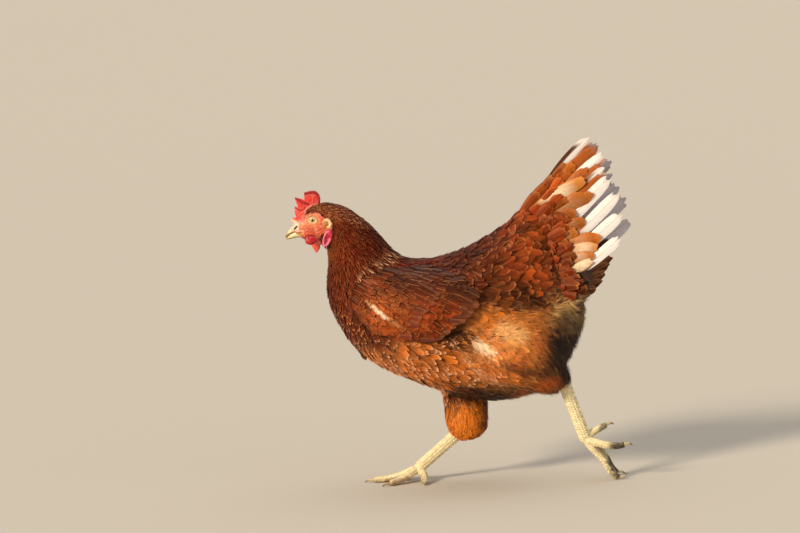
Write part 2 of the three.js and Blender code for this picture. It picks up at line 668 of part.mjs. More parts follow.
const tailVanes = TAIL_FANS.flatMap((spec) => [
  ...fan(spec, LEFT, tentFace),
  ...fan(spec, RIGHT, tentFace, FAR_SPREAD.turn, FAR_SPREAD.reach),
]);
add("tail", union([tailCore(), ...tailVanes]).subtract(bodyGrown), COLOR.tail, 0.75);

export default hen;
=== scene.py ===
# %% [markdown]
# # A laying hen, from skin to feathers
#
# This lesson dresses a finished solid model of a brown hen that walks on a plain floor. The
# solids say where everything is and how large it is. Blender adds what the eye looks for:
# skin with folds and lids, a horny beak, scaly feet, and a coat of many thousand feathers
# that lie over one another like roof tiles. Everything is mesh made by code, in metres.

# %% Load the solid model
import math

import bpy
import numpy as np
from mathutils import Matrix, Vector
from mathutils.bvhtree import BVHTree


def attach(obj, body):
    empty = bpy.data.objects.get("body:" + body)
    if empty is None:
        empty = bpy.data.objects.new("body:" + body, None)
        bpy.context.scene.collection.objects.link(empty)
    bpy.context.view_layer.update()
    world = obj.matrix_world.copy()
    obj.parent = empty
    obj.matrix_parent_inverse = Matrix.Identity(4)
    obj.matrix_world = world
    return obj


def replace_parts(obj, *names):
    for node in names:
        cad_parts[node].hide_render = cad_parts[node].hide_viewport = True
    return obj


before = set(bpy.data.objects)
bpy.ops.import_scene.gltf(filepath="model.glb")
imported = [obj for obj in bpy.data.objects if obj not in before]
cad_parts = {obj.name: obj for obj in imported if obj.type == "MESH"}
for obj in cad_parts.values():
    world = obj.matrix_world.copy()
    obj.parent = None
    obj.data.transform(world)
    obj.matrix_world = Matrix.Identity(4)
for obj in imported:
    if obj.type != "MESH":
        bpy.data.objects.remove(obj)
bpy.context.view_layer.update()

print("solids:", sorted(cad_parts))

# %% [markdown]
# ## Stage, light and camera
#
# A museum shows a model on a plain floor under soft light, so that its own colours tell. Hard
# sun would be quicker to set up, but it burns out the white feathers. Three very soft, far lamps
# are used: a warm one low on the left, which also brings out the relief of the feathers, a
# cool weak one on the right, and one above. The camera stands far off with a long lens, a little
# above the hen's back, and is turned a little about its own axis.

# %% Colours as hex values
LEFT, RIGHT = -1, 1  # the hen looks along -X, so its left side is at -Y
SIDES = {"left": LEFT, "right": RIGHT}
MM = 0.001


def linear(code):
    """Turns an sRGB hex code into the linear red, green and blue that shaders use."""
    code = code.lstrip("#")
    parts = [int(code[i : i + 2], 16) / 255 for i in (0, 2, 4)]
    return np.array([p / 12.92 if p <= 0.04045 else ((p + 0.055) / 1.055) ** 2.4 for p in parts])


def rgba(code):
    return (*linear(code), 1.0)


print("a white feather in linear light:", linear("#F4EEE6").round(3))

# %% Nodes and materials
def add(tree, kind, inputs=None, **settings):
    """Adds one shader node. An input is either a plain value or another node's output."""
    node = tree.nodes.new(kind)
    for key, value in settings.items():
        setattr(node, key, value)
    for key, value in (inputs or {}).items():
        if isinstance(value, bpy.types.NodeSocket):
            tree.links.new(value, node.inputs[key])
        else:
            node.inputs[key].default_value = value
    return node


def new_material(name, inputs):
    """A material with its tree, and a Principled shader with these plain inputs."""
    material = bpy.data.materials.new(name)
    material.use_nodes = True
    tree = material.node_tree
    tree.nodes.clear()
    shader = add(tree, "ShaderNodeBsdfPrincipled", inputs)
    add(tree, "ShaderNodeOutputMaterial", {"Surface": shader.outputs["BSDF"]})
    return material, tree, shader


# %% Floor
FLOOR_SIZE = 30.0
FLOOR_COLOURS = ("#C9C0B2", "#CFC6B8")


def floor_paint():
    """Matt paint on board: no gloss, and a faint cloudiness from the roller."""
    material, tree, shader = new_material("matt_floor_paint", {
        "Roughness": 0.85, "Specular IOR Level": 0.25,
    })
    cloud = add(tree, "ShaderNodeTexNoise", {"Scale": 3.0, "Detail": 3.0})
    tint = add(tree, "ShaderNodeValToRGB", {"Fac": cloud.outputs["Fac"]})
    for stop, code in zip(tint.color_ramp.elements, FLOOR_COLOURS):
        stop.color = rgba(code)
    tree.links.new(tint.outputs["Color"], shader.inputs["Base Color"])
    return material


half = FLOOR_SIZE / 2
floor_mesh = bpy.data.meshes.new("floor")
corners = [(-half, -half, 0), (half, -half, 0), (half, half, 0), (-half, half, 0)]
floor_mesh.from_pydata(corners, [], [(0, 1, 2, 3)])
floor = bpy.data.objects.new("floor", floor_mesh)
floor_mesh.materials.append(floor_paint())
bpy.context.scene.collection.objects.link(floor)
print("floor:", FLOOR_SIZE, "m across")

# %% Camera
CAMERA_TARGET = Vector((-0.0734, 0.0, 0.2768))
CAMERA_DISTANCE = 6.667
CAMERA_DOWN = math.radians(7.5)  # how far the view looks down
CAMERA_ROLL = math.radians(3.0)
CAMERA_LENS = 240.0  # mm, on a film 36 mm wide

forward = Vector((0, math.cos(CAMERA_DOWN), -math.sin(CAMERA_DOWN)))
level_up = Vector((0, math.sin(CAMERA_DOWN), math.cos(CAMERA_DOWN)))
right = math.cos(CAMERA_ROLL) * Vector((1, 0, 0)) - math.sin(CAMERA_ROLL) * level_up
up = math.sin(CAMERA_ROLL) * Vector((1, 0, 0)) + math.cos(CAMERA_ROLL) * level_up

lens = bpy.data.cameras.new("camera")
lens.lens = CAMERA_LENS
lens.sensor_width = 36.0
lens.clip_end = 60.0
camera = bpy.data.objects.new("camera", lens)
camera.matrix_world = Matrix.Translation(CAMERA_TARGET - CAMERA_DISTANCE * forward) @ Matrix(
    (right, up, -forward)
).transposed().to_4x4()
bpy.context.scene.collection.objects.link(camera)
bpy.context.scene.camera = camera
print("camera at", [round(c, 2) for c in camera.location])

# %% Lamps and room
LAMPS = [
    # name, direction it shines from, strength, softness in degrees, colour
    ("key", (-0.70, -0.60, 0.45), 3.4, 14, "#FFEFD8"),
    ("fill", (0.80, -0.70, 0.30), 0.35, 50, "#F0F2FF"),
    ("top", (0.10, 0.30, 1.00), 0.75, 60, "#FFFFFF"),
]

for name, place, strength, softness, tint in LAMPS:
    light = bpy.data.lights.new(name, "SUN")
    light.energy = strength
    light.angle = math.radians(softness)
    light.color = linear(tint)
    lamp = bpy.data.objects.new(name, light)
    lamp.rotation_euler = Vector(place).to_track_quat("Z", "Y").to_euler()
    bpy.context.scene.collection.objects.link(lamp)

world = bpy.data.worlds.new("room")
world.use_nodes = True
bpy.context.scene.world = world
backdrop = world.node_tree.nodes["Background"]
backdrop.inputs["Color"].default_value = rgba("#EDEAE4")
backdrop.inputs["Strength"].default_value = 0.45
bpy.context.scene.view_settings.view_transform = "Standard"
print(len(LAMPS), "lamps")

# %% [markdown]
# ## Three ways to make a form
#
# A hen's parts are round and run along a line: a toe, a comb's point, a wattle. Such a form is
# a stack of rings along a path. The head is a stack of rings too, but its sections are given
# by their low and high points, so that the profile can be read off in the side view. Forms
# that melt into one another are put in one mesh and remeshed: the voxel remesh gives a single
# closed skin over all of them, which a sculptor would call blending clay.

# %% Curves and rings
def spline(points, places):
    """Points on a smooth curve through a list of points, at places from 0 to 1."""
    p = np.asarray(points, float)
    p = np.vstack([2 * p[0] - p[1], p, 2 * p[-1] - p[-2]])
    at = np.clip(np.asarray(places, float), 0, 1) * (len(p) - 3)
    i = np.minimum(at.astype(int), len(p) - 4)
    f = (at - i)[:, None]
    a, b, c, d = p[i], p[i + 1], p[i + 2], p[i + 3]
    return 0.5 * (2 * b + (c - a) * f + (2 * a - 5 * b + 4 * c - d) * f**2
                  + (3 * b - a - 3 * c + d) * f**3)


def unit(vectors):
    return vectors / np.maximum(np.linalg.norm(vectors, axis=-1, keepdims=True), 1e-9)


def spread(values, places):
    """A list of values that is read anywhere between its ends."""
    return np.interp(places, np.linspace(0, 1, len(values)), values)


def tube(path, deep, wide, sides=16, steps=8):
    """Rings of an oval along a path: deep is its radius in the side view, wide across it."""
    at = np.linspace(0, 1, (len(path) - 1) * steps + 1)
    middle = spline(path, at)
    along = unit(np.gradient(middle, axis=0))
    across = unit(np.array([0.0, 1.0, 0.0]) - along * along[:, 1:2])
    sole = np.cross(along, across)
    turn = 2 * np.pi * (np.arange(sides) + 0.5) / sides
    side = across[:, None] * (np.sin(turn)[:, None] * spread(wide, at)[:, None, None])
    down = sole[:, None] * (np.cos(turn)[:, None] * spread(deep, at)[:, None, None])
    return middle[:, None] + side + down


def closed(rings):
    """Points and faces of a stack of rings, with a hub at each end."""
    count, sides = rings.shape[:2]
    points = np.vstack([rings.reshape(-1, 3), rings[0].mean(0), rings[-1].mean(0)])
    k = np.arange(sides)
    after = (k + 1) % sides
    faces = []
    for j in range(count - 1):
        a, b = j * sides + k, j * sides + after
        faces.append(np.stack([a, b, b + sides, a + sides], 1))
    faces = np.vstack(faces).tolist()
    hub = count * sides
    last = (count - 1) * sides
    faces += [[int(b), int(a), hub] for a, b in zip(k, after)]
    faces += [[int(last + a), int(last + b), hub + 1] for a, b in zip(k, after)]
    return points, faces


def joined(parts):
    """One list of points and one of faces from several."""
    points, faces, start = [], [], 0
    for p, f in parts:
        points.append(p)
        faces += [[i + start for i in face] for face in f]
        start += len(p)
    return np.vstack(points), faces


print("a finger of the comb has", len(closed(tube([(0, 0, 0), (0, 0, 9)], [1], [1]))[1]), "faces")

# %% Meshes
def new_mesh(name, points, faces):
    """A mesh from points in millimetres."""
    mesh = bpy.data.meshes.new(name)
    mesh.from_pydata((np.asarray(points) * MM).tolist(), [], faces)
    mesh.update()
    return mesh


def new_piece(name, mesh, material):
    piece = bpy.data.objects.new(name, mesh)
    mesh.materials.clear()
    mesh.materials.append(material)
    mesh.shade_smooth()
    bpy.context.scene.collection.objects.link(piece)
    return piece


def worked(mesh, *steps):
    """Runs modifiers over a mesh, in order, and gives back the result."""
    piece = bpy.data.objects.new("work", mesh)
    bpy.context.scene.collection.objects.link(piece)
    for kind, settings in steps:
        modifier = piece.modifiers.new(kind.lower(), kind)
        for key, value in settings.items():
            setattr(modifier, key, value)
    depsgraph = bpy.context.evaluated_depsgraph_get()
    result = bpy.data.meshes.new_from_object(piece.evaluated_get(depsgraph))
    bpy.data.objects.remove(piece)
    return result


def blended(points, faces, voxel, rounds):
    """One closed skin over all the forms in a mesh. The voxel is in millimetres."""
    return worked(
        new_mesh("clay", points, faces),
        ("REMESH", {"mode": "VOXEL", "voxel_size": voxel * MM, "adaptivity": 0.0}),
        ("SMOOTH", {"factor": 0.5, "iterations": rounds}),
    )


def places_of(mesh):
    """The mesh's points in millimetres."""
    flat = np.empty(len(mesh.vertices) * 3, np.float32)
    mesh.vertices.foreach_get("co", flat)
    return flat.reshape(-1, 3).astype(float) / MM


def clay(mesh):
    """A mesh's points in millimetres and its faces."""
    return places_of(mesh), [list(polygon.vertices) for polygon in mesh.polygons]


def normals_of(mesh):
    flat = np.empty(len(mesh.vertices) * 3, np.float32)
    mesh.vertex_normals.foreach_get("vector", flat)
    return flat.reshape(-1, 3).astype(float)


def set_places(mesh, points):
    mesh.vertices.foreach_set("co", (points * MM).astype(np.float32).ravel())
    mesh.update()


def paint(mesh, name, colours):
    """Stores a colour for each point of the mesh, for the shader to read."""
    layer = mesh.color_attributes.new(name, "FLOAT_COLOR", "POINT")
    flat = np.ones((len(mesh.vertices), 4), np.float32)
    flat[:, :3] = colours
    layer.data.foreach_set("color", flat.ravel())


print("helpers ready")

# %% [markdown]
# ## The head
#
# The head gets the most care, because the eye goes there first. Its skull is a stack of
# sections. On it lie the soft forms: lids round the eye, the pale rim of the ear, the earlobe,
# wrinkles under the eye, and the comb and wattles with their folds. Sculpting by hand would
# work too, but forms along short paths can be named and changed one by one. All of them are
# blended into one skin by the voxel remesh.

# %% Skull sections
SKULL = [
    # low (x, z), high (x, z), half width, and how much narrower the top is than the bottom
    ((-200.5, 322.5), (-203.5, 341.0), 7.4, 0.00),
    ((-194.5, 319.5), (-197.5, 346.5), 10.4, 0.05),
    ((-187.5, 315.5), (-189.5, 353.5), 13.4, 0.05),
    ((-179.5, 312.0), (-181.0, 358.5), 16.0, 0.00),
    ((-171.0, 309.0), (-170.5, 361.0), 17.6, 0.00),
    ((-163.0, 304.5), (-157.0, 361.0), 19.5, 0.05),
    ((-161.5, 286.5), (-131.0, 350.5), 25.0, 0.05),
    ((-159.5, 264.0), (-111.0, 324.5), 27.5, 0.05),
    ((-150.0, 244.0), (-100.0, 296.0), 26.0, 0.05),
]


def sections(rows, sides, steps, shrink=0.0):
    """Rings through a list of sections. Shrinking draws them in by so many millimetres."""
    at = np.linspace(0, 1, (len(rows) - 1) * steps + 1)
    low, high = spline([r[0] for r in rows], at), spline([r[1] for r in rows], at)
    size = spline([(r[2], 100 * r[3]) for r in rows], at)
    turn = 2 * np.pi * np.arange(sides) / sides
    rise = -np.cos(turn)
    middle, reach = (low + high) / 2, (high - low) / 2
    tall = np.linalg.norm(reach, axis=1)
    reach = reach * ((tall - shrink) / tall)[:, None]
    half = (size[:, 0] - shrink)[:, None] * np.abs(np.sin(turn)) * np.sign(np.sin(turn) + 1e-12)
    half = half * (1 - size[:, 1:2] / 100 * rise)
    side_view = middle[:, None] + reach[:, None] * rise[:, None]
    return np.stack([side_view[..., 0], half, side_view[..., 1]], -1)


skull = closed(sections(SKULL, 48, 8))
skull_surface = BVHTree.FromPolygons(skull[0].tolist(), skull[1])


FAR = 200  # mm aside, where rays towards the hen start


def ray_in(surface, x, z, side):
    """What a ray from one side meets at a point of the side view."""
    return surface.ray_cast(Vector((x, side * FAR, z)), Vector((0, -side, 0)))


def flank_of(surface, x, z, side):
    """How far the surface stands out to one side at a point of the side view."""
    hit = ray_in(surface, x, z, side)[0]
    return hit[1] if hit else 0.0


def on_face(path, side, out=0.0):
    """A path of side view points, laid on the skull."""
    return [(x, flank_of(skull_surface, x, z, side) + side * out, z) for x, z in path]


print("cheek to cheek:", round(2 * abs(flank_of(skull_surface, -171, 335, LEFT)), 1), "mm")

# %% Eyelids, ear and earlobe
EYE = {"x": -179.3, "z": 342.6, "depth": 11.6, "radius": 5.8}
LIDS = [
    # half length and half height of the fold round the eye, and its thickness
    (4.2, 3.2, 0.60),
    (5.4, 4.5, 0.62),
    (7.0, 6.1, 0.50),
]
LID_TILT = math.radians(-12)
EAR = {"x": -161.3, "z": 337.8, "radius": 4.3, "rim": 1.5}
LOBE = {"x": -162.3, "z": 319.2, "length": 12.2, "width": 5.0, "thick": 2.8, "tilt": 0.34}


def lid_path(length, height, side):
    """An almond outline that lies on the eyeball, just outside it."""
    path = []
    for k in range(25):
        turn = 2 * math.pi * k / 24
        rise = math.copysign(abs(math.sin(turn)) ** 1.2, math.sin(turn))
        x, z = length * math.cos(turn), height * rise
        x, z = (x * math.cos(LID_TILT) - z * math.sin(LID_TILT),
                x * math.sin(LID_TILT) + z * math.cos(LID_TILT))
        out = math.sqrt(max((EYE["radius"] + 0.45) ** 2 - x * x - z * z, 0))
        face = abs(flank_of(skull_surface, EYE["x"] + x, EYE["z"] + z, side))
        path.append((EYE["x"] + x, side * max(EYE["depth"] + out, face), EYE["z"] + z))
    return path


def ear_path(side):
    path = []
    for k in range(9):
        turn = math.radians(-75 + 32 * k)
        x = EAR["x"] + EAR["radius"] * math.cos(turn)
        z = EAR["z"] + 1.1 * EAR["radius"] * math.sin(turn)
        path.append((x, z))
    return on_face(path, side, 0.5)


def lobe_ring(side, scale, out):
    """Side view points of an oval round the earlobe, leaning as the lobe does."""
    path = []
    for k in range(17):
        turn = 2 * math.pi * k / 16
        x, z = scale * LOBE["width"] * math.cos(turn), scale * LOBE["length"] * math.sin(turn)
        lean = LOBE["tilt"]
        x, z = x * math.cos(lean) + z * math.sin(lean), z * math.cos(lean) - x * math.sin(lean)
        path.append((LOBE["x"] + x, LOBE["z"] + z))
    middle = flank_of(skull_surface, LOBE["x"], LOBE["z"], side)
    return [(x, middle + side * out, z) for x, z in path]


def lobe_disc(side):
    rings = [lobe_ring(side, scale, out) for scale, out in
             [(0.55, -3.0), (0.95, -1.0), (0.98, 0.4), (0.8, 1.5), (0.5, 1.2), (0.2, 1.0)]]
    return closed(np.array(rings)[:, :-1])


soft = []
for side in (LEFT, RIGHT):
    for length, height, thick in LIDS:
        soft.append(closed(tube(lid_path(length, height, side), [thick], [thick * 0.8], 8, 2)))
    rim = [EAR["rim"] * f for f in (0.45, 0.8, 1, 1.15, 1.25, 1.2, 1, 0.7, 0.4)]
    soft.append(closed(tube(ear_path(side), rim, rim, 10, 3)))
    soft.append(lobe_disc(side))
    soft.append(closed(tube(lobe_ring(side, 0.78, 1.5), [1.35], [1.2], 10, 2)))
print(len(soft), "forms round eye and ear")

# %% Wrinkles and the corners of the mouth
WRINKLES = [
    # side view path, thickness
    ([(-187.8, 337.5), (-184.5, 333.8), (-180, 332.6), (-176, 333.8)], 0.7),
    ([(-190, 334.5), (-186.6, 330.6), (-181.5, 329.6)], 0.75),
    ([(-179.5, 329.0), (-174.5, 330.2), (-170.6, 333.2)], 0.8),
    ([(-188.6, 327.0), (-184, 325.6), (-180.5, 326.4)], 0.9),
    ([(-177.5, 325.0), (-172.8, 326.4), (-169.5, 329.5)], 0.8),
    ([(-191, 323.5), (-185, 321.4), (-178, 320.6), (-172, 321.8)], 1.2),
    ([(-193, 342), (-190, 346.5), (-185.5, 350), (-180, 351.6)], 1.0),
    ([(-171.8, 345.5), (-168.6, 341.5), (-168.2, 336.5)], 0.7),
    ([(-195.2, 336.5), (-192.6, 332.8), (-190.4, 331.5)], 0.7),
    ([(-193.5, 330.6), (-190.2, 329.2), (-187.2, 330.2)], 0.6),
]
MOUTH = {"front": -201.0, "corner": -195.0, "z": 327.2, "lip": 0.7}

for side in (LEFT, RIGHT):
    for path, thick in WRINKLES:
        ends = [0.4 * thick, thick, thick, 0.4 * thick]
        soft.append(closed(tube(on_face(path, side, -0.25 * thick), ends, ends, 8, 4)))
    for lip in (1, -1):
        z = MOUTH["z"] + lip * MOUTH["lip"] * 1.15
        path = [(MOUTH["front"] + 1.5, z), (-196, z), (MOUTH["corner"], z - lip * 0.5)]
        size = [MOUTH["lip"], MOUTH["lip"], MOUTH["lip"] * 0.8]
        soft.append(closed(tube(on_face(path, side, -0.1), size, size, 8, 5)))
print(len(soft), "forms on the face")

# %% Comb and wattles
COMB_POINTS = [
    # path from the crown to the tip, and half depth along it
    ([(-199, 0, 340), (-203, -0.5, 342.5), (-206.2, -1, 342.8)], [4, 3.2, 0.9]),
    ([(-190, 0, 345), (-196, 0.5, 352), (-200.5, 1.5, 358.5)], [8, 6, 0.8]),
    ([(-184, 0, 350), (-191, -1, 361), (-200, -2.5, 370.8)], [10, 7.5, 0.8]),
    ([(-178, 0, 353), (-181, -1, 366), (-187.5, -3, 376.5)], [9, 9, 1.4]),
    ([(-174.5, 0, 354), (-174.6, -0.5, 367), (-178, -2.2, 376.0)], [4.5, 6.4, 5.4]),
]
COMB_HALF = [2.4, 1.6, 0.7]
COMB_FOOT = ([(-204, 0, 341), (-196, 0, 345), (-188, 0, 352), (-180, 0, 356), (-173, 0, 357.5)],
             [1.5, 3.5, 4.5, 4.5, 2.0], [1.6, 3.2, 3.8, 3.8, 2.2])
COMB_FOLDS = [
    # the crest is folded over towards the left side: path and thickness
    ([(-188.0, -3.4, 375.2), (-182, -3.2, 376.6), (-175.4, -2.8, 376.2), (-170.9, -2.0, 372.0),
      (-169.9, -1.8, 366), (-171.4, -1.6, 359.5)], 1.9),
    ([(-199.8, -2.7, 370.3), (-194, -2.6, 366.2), (-188.5, -2.4, 363.3), (-183, -2.2, 361.2)], 1.15),
    ([(-200.2, 0.6, 357.8), (-195.5, -1.2, 355.0), (-191, -2.2, 354.6), (-188, -2.4, 357.6)], 1.0),
    ([(-196, -1.6, 347.5), (-192, -2.4, 350.5), (-188.5, -2.6, 350.5)], 0.9),
    ([(-184.5, -1.9, 373.0), (-182.8, -2.4, 368.0), (-183.4, -2.6, 363.5)], 0.7),
    ([(-178.4, -1.9, 373.2), (-177.0, -2.3, 368.0), (-178.2, -2.6, 362.5)], 0.7),
    ([(-192.8, -1.5, 364.0), (-190.0, -2.3, 360.0), (-187.4, -2.7, 357.2)], 0.6),
    ([(-197.8, -0.6, 353.6), (-195.4, -1.6, 350.4), (-193.0, -2.4, 347.4)], 0.6),
]
WATTLES = [
    # path, half depth, half width
    ([(-182.5, -7, 322.5), (-182.8, -10, 318.5), (-182.6, -11, 315), (-182, -10.6, 311.6)],
     [5.4, 7.6, 7.0, 3.0], [1.8, 2.6, 2.8, 1.5]),
    ([(-177, 6, 320.5), (-176.4, 8.5, 312.5), (-176.6, 9.3, 305), (-176.9, 9.4, 298.4)],
     [6.6, 7.4, 5.0, 0.8], [1.7, 2.2, 1.6, 0.8]),
]

for path, deep in COMB_POINTS:
    soft.append(closed(tube(path, deep, COMB_HALF, 20, 10)))
soft.append(closed(tube(*COMB_FOOT, 16, 6)))
for path, thick in COMB_FOLDS:
    ends = [0.5 * thick, thick, thick, 0.6 * thick]
    soft.append(closed(tube(path, ends, ends, 10, 5)))
for path, deep, wide in WATTLES:
    soft.append(closed(tube(path, deep, wide, 24, 8)))
print("comb and wattles:", len(COMB_POINTS), "points,", len(WATTLES), "wattles")

# %% The cere and the head in one skin
BEAK_UPPER = [
    ((-198.0, 327.6), (-199.5, 340.0), 7.2, -0.10),
    ((-202.5, 326.6), (-203.6, 335.6), 6.2, -0.10),
    ((-207.5, 324.8), (-208.6, 331.0), 4.6, -0.05),
    ((-212.0, 322.2), (-213.0, 325.6), 2.4, 0.00),
    ((-214.4, 320.6), (-214.6, 321.8), 0.6, 0.00),
]
CERE_LENGTH = 0.40  # of the upper beak, covered by soft skin
NOSTRIL = {"x": -200.9, "z": 333.3, "out": 5.6, "radius": 0.8, "length": 5.0}
HEAD_VOXEL = 0.6

beak_rings = sections(BEAK_UPPER, 40, 12)
cere = sections(BEAK_UPPER, 40, 12, -0.45)[: int(CERE_LENGTH * len(beak_rings)) + 1]
cere[-1] = (cere[-1] - cere[-1].mean(0)) * 0.88 + cere[-1].mean(0)
soft.append(closed(cere))
for side in (LEFT, RIGHT):
    hood = [(-197.5, side * 7.0, 338.0), (-201.4, side * 6.0, 336.4), (-205.0, side * 4.9, 332.4)]
    soft.append(closed(tube(hood, [0.9, 1.5, 0.8], [0.9, 1.4, 0.9], 10, 4)))
    below = [(-198.5, side * 7.4, 332.0), (-202.0, side * 6.6, 330.4), (-205.6, side * 5.2, 329.4)]
    soft.append(closed(tube(below, [0.8, 1.2, 0.6], [0.7, 1.0, 0.6], 10, 4)))

head = blended(*joined([skull, *soft]), HEAD_VOXEL, 3)


def crinkle(points, size, seed):
    """A soft random relief between -1 and 1 with bumps of about the given size in mm."""
    rng = np.random.default_rng(seed)
    value = np.zeros(len(points))
    for _ in range(9):
        way = rng.normal(0, 1, 3)
        wave = way / np.linalg.norm(way) * 2 * np.pi / (size * rng.uniform(0.7, 1.5))
        value += np.sin(points @ wave + rng.uniform(0, 6.3))
    return value / 4.5


CRINKLES = [(2.6, 0.16, 1), (5.2, 0.20, 2)]  # size, height, and which pattern
crinkled = places_of(head)
for size, height, seed in CRINKLES:
    crinkled = crinkled + normals_of(head) * (height * crinkle(crinkled, size, seed))[:, None]
set_places(head, crinkled)


def eyeball_clay(side, radius):
    turn = np.linspace(0, np.pi, 25)[1:-1]
    path = [(EYE["x"], side * EYE["depth"], EYE["z"] + radius * math.cos(t)) for t in turn]
    size = (radius * np.sin(turn)).tolist()
    return closed(tube(path, size, size, 32, 1))


def nostril_clay(side):
    reach = NOSTRIL["length"] / 2 * math.sqrt(0.5)
    path = [(NOSTRIL["x"] + s * reach, side * (NOSTRIL["out"] + 0.2), NOSTRIL["z"] + s * reach)
            for s in (-1, -0.5, 0.5, 1)]
    size = [0.4 * NOSTRIL["radius"], NOSTRIL["radius"], NOSTRIL["radius"], 0.5 * NOSTRIL["radius"]]
    return closed(tube(path, size, [3.4, 3.8, 3.8, 3.4], 12, 3))


def cut(mesh, name, clays, operation="DIFFERENCE"):
    """Takes forms out of a mesh, or adds them, one after the other."""
    for points, faces in clays:
        tool = bpy.data.objects.new(name, new_mesh(name, points, faces))
        bpy.context.scene.collection.objects.link(tool)
        mesh = worked(mesh, ("BOOLEAN", {"object": tool, "operation": operation,
                                         "solver": "MANIFOLD"}))
        bpy.data.objects.remove(tool)
    return mesh


head = cut(head, "socket", [eyeball_clay(side, EYE["radius"] + 0.08) for side in (LEFT, RIGHT)])
head = cut(head, "nostril", [nostril_clay(side) for side in (LEFT, RIGHT)])
print("head:", len(head.vertices), "points")

# %% [markdown]
# ## Legs and the whole skin
#
# Shanks and toes carry horny plates, and between the plates the skin shows. So the skin runs
# down to the claws as one surface, and the plates are laid over it later. The body's skin is
# taken from the solids: neck, torso and thighs are blended into one form, which is where the
# coat's surface lies. The skin itself is drawn in from there by the depth of the coat, as it
# would be on a plucked bird, and joined with the head and the legs into one closed surface.

# %% Leg paths
LEGS = {
    "left": {
        "hock": (120.5, -34, 133),
        "joint": (147.5, -32, 50),
        "toes": {
            "middle": [(156, -35, 40), (168, -38, 26), (178, -41, 9), (186, -43, 3.2)],
            "outer": [(160, -39, 48), (173, -45, 45), (186, -50, 44.5), (194, -52, 46)],
            "inner": [(159, -25, 43), (170, -19, 29), (178, -15, 13), (185, -13, 4.4)],
            "hallux": [(155, -27, 58.5), (165, -25, 63.5), (174, -24, 67.5)],
        },
        "claws": {
            "middle": [(186, -43, 3.2), (192, -44, 4.2), (197, -44, 8)],
            "outer": [(194, -52, 46), (200, -53, 47), (204.5, -53.5, 44.5)],
            "inner": [(185, -13, 4.4), (191, -12, 4.6), (196, -11, 1.6)],
            "hallux": [(174, -24, 67.5), (179.5, -23, 69), (183.5, -23, 67)],
        },
    },
    "right": {
        "hock": (7, 24, 73),
        "joint": (-64, 22, 16.5),
        "toes": {
            "middle": [(-80, 24, 10), (-95, 26, 5.2), (-110, 28, 3.6), (-120, 29, 3.2)],
            "outer": [(-74, 36, 9), (-84, 44, 4.4), (-93, 51, 3.2)],
            "inner": [(-78, 12, 9), (-90, 4, 4.4), (-100, -3, 3.2)],
            "hallux": [(-57, 12, 10.5), (-56, 2, 4.4), (-56, -7, 3.2)],
        },
        "claws": {
            "middle": [(-120, 29, 3.2), (-127, 30, 3.4), (-132, 30.5, 0.9)],
            "outer": [(-93, 51, 3.2), (-98, 55, 3.4), (-102, 58, 0.9)],
            "inner": [(-100, -3, 3.2), (-106, -7, 3.4), (-110, -10, 0.9)],
            "hallux": [(-56, -7, 3.2), (-56, -13, 3.4), (-56.5, -18, 0.9)],
        },
    },
}
SHANK = {"front": 7.8, "wide": 5.8}
TOE = {"root": 5.8, "tip": 3.8}
SCALE_DEPTH = 0.55  # the skin of the legs lies this far below the plates


def shank_path(leg):
    hock, joint = np.array(leg["hock"], float), np.array(leg["joint"], float)
    above = hock + (hock - joint) * 0.12  # the bone runs on up into the drumstick
    return [above, hock, (hock + joint) / 2, joint]


def shank_size(shrink):
    deep = [SHANK["front"] * f - shrink for f in (0.95, 1.08, 0.95, 0.95)]
    wide = [SHANK["wide"] * f - shrink for f in (0.9, 1, 0.9, 1.1)]
    return deep, wide


def toe_path(leg, toe):
    return [leg["joint"], *leg["toes"][toe]]


def toe_size(leg, toe, shrink):
    count = len(leg["toes"][toe])
    return [TOE["root"] + (TOE["tip"] - TOE["root"]) * i / count - shrink
            for i in range(count + 1)]


def leg_clay(leg):
    parts = [closed(tube(shank_path(leg), *shank_size(SCALE_DEPTH), 20, 8))]
    for toe in leg["toes"]:
        size = toe_size(leg, toe, SCALE_DEPTH)
        parts.append(closed(tube(toe_path(leg, toe), size, size, 18, 8)))
    return parts


LEG_VOXEL = 0.9
legs = {}
for name, leg in LEGS.items():
    legs[name] = blended(*joined(leg_clay(leg)), LEG_VOXEL, 4)
    flat = places_of(legs[name])
    flat[:, 2] = np.maximum(flat[:, 2], 0.15)  # pads flatten where they stand
    set_places(legs[name], flat)
print("legs:", [len(mesh.vertices) for mesh in legs.values()], "points")

# %% The form that the coat covers
COAT_NODES = ["neck", "torso", "thigh_left", "thigh_right"]
TENT = {"base": (119, 283), "angle": 47, "ridge": 72, "eave": -62, "top": 0.4, "slope": 0.31,
        "narrowing": 0.0016}
TAIL_CUSHION = {"from": -34, "to": 50, "taper": 0.88}
FORM_VOXEL = 3.0


def tail_axes():
    turn = math.radians(TENT["angle"])
    return np.array([math.cos(turn), math.sin(turn)])


def in_tail(x, z):
    """Along the tail's axis and across it, from a side view point."""
    way = tail_axes()
    dx, dz = x - TENT["base"][0], z - TENT["base"][1]
    return dx * way[0] + dz * way[1], dz * way[0] - dx * way[1]


def tent_face(x, z):
    along, across = in_tail(x, z)
    down = np.maximum(0, TENT["ridge"] - across)
    return TENT["top"] + down * TENT["slope"] * (1 - TENT["narrowing"] * np.maximum(0, along))


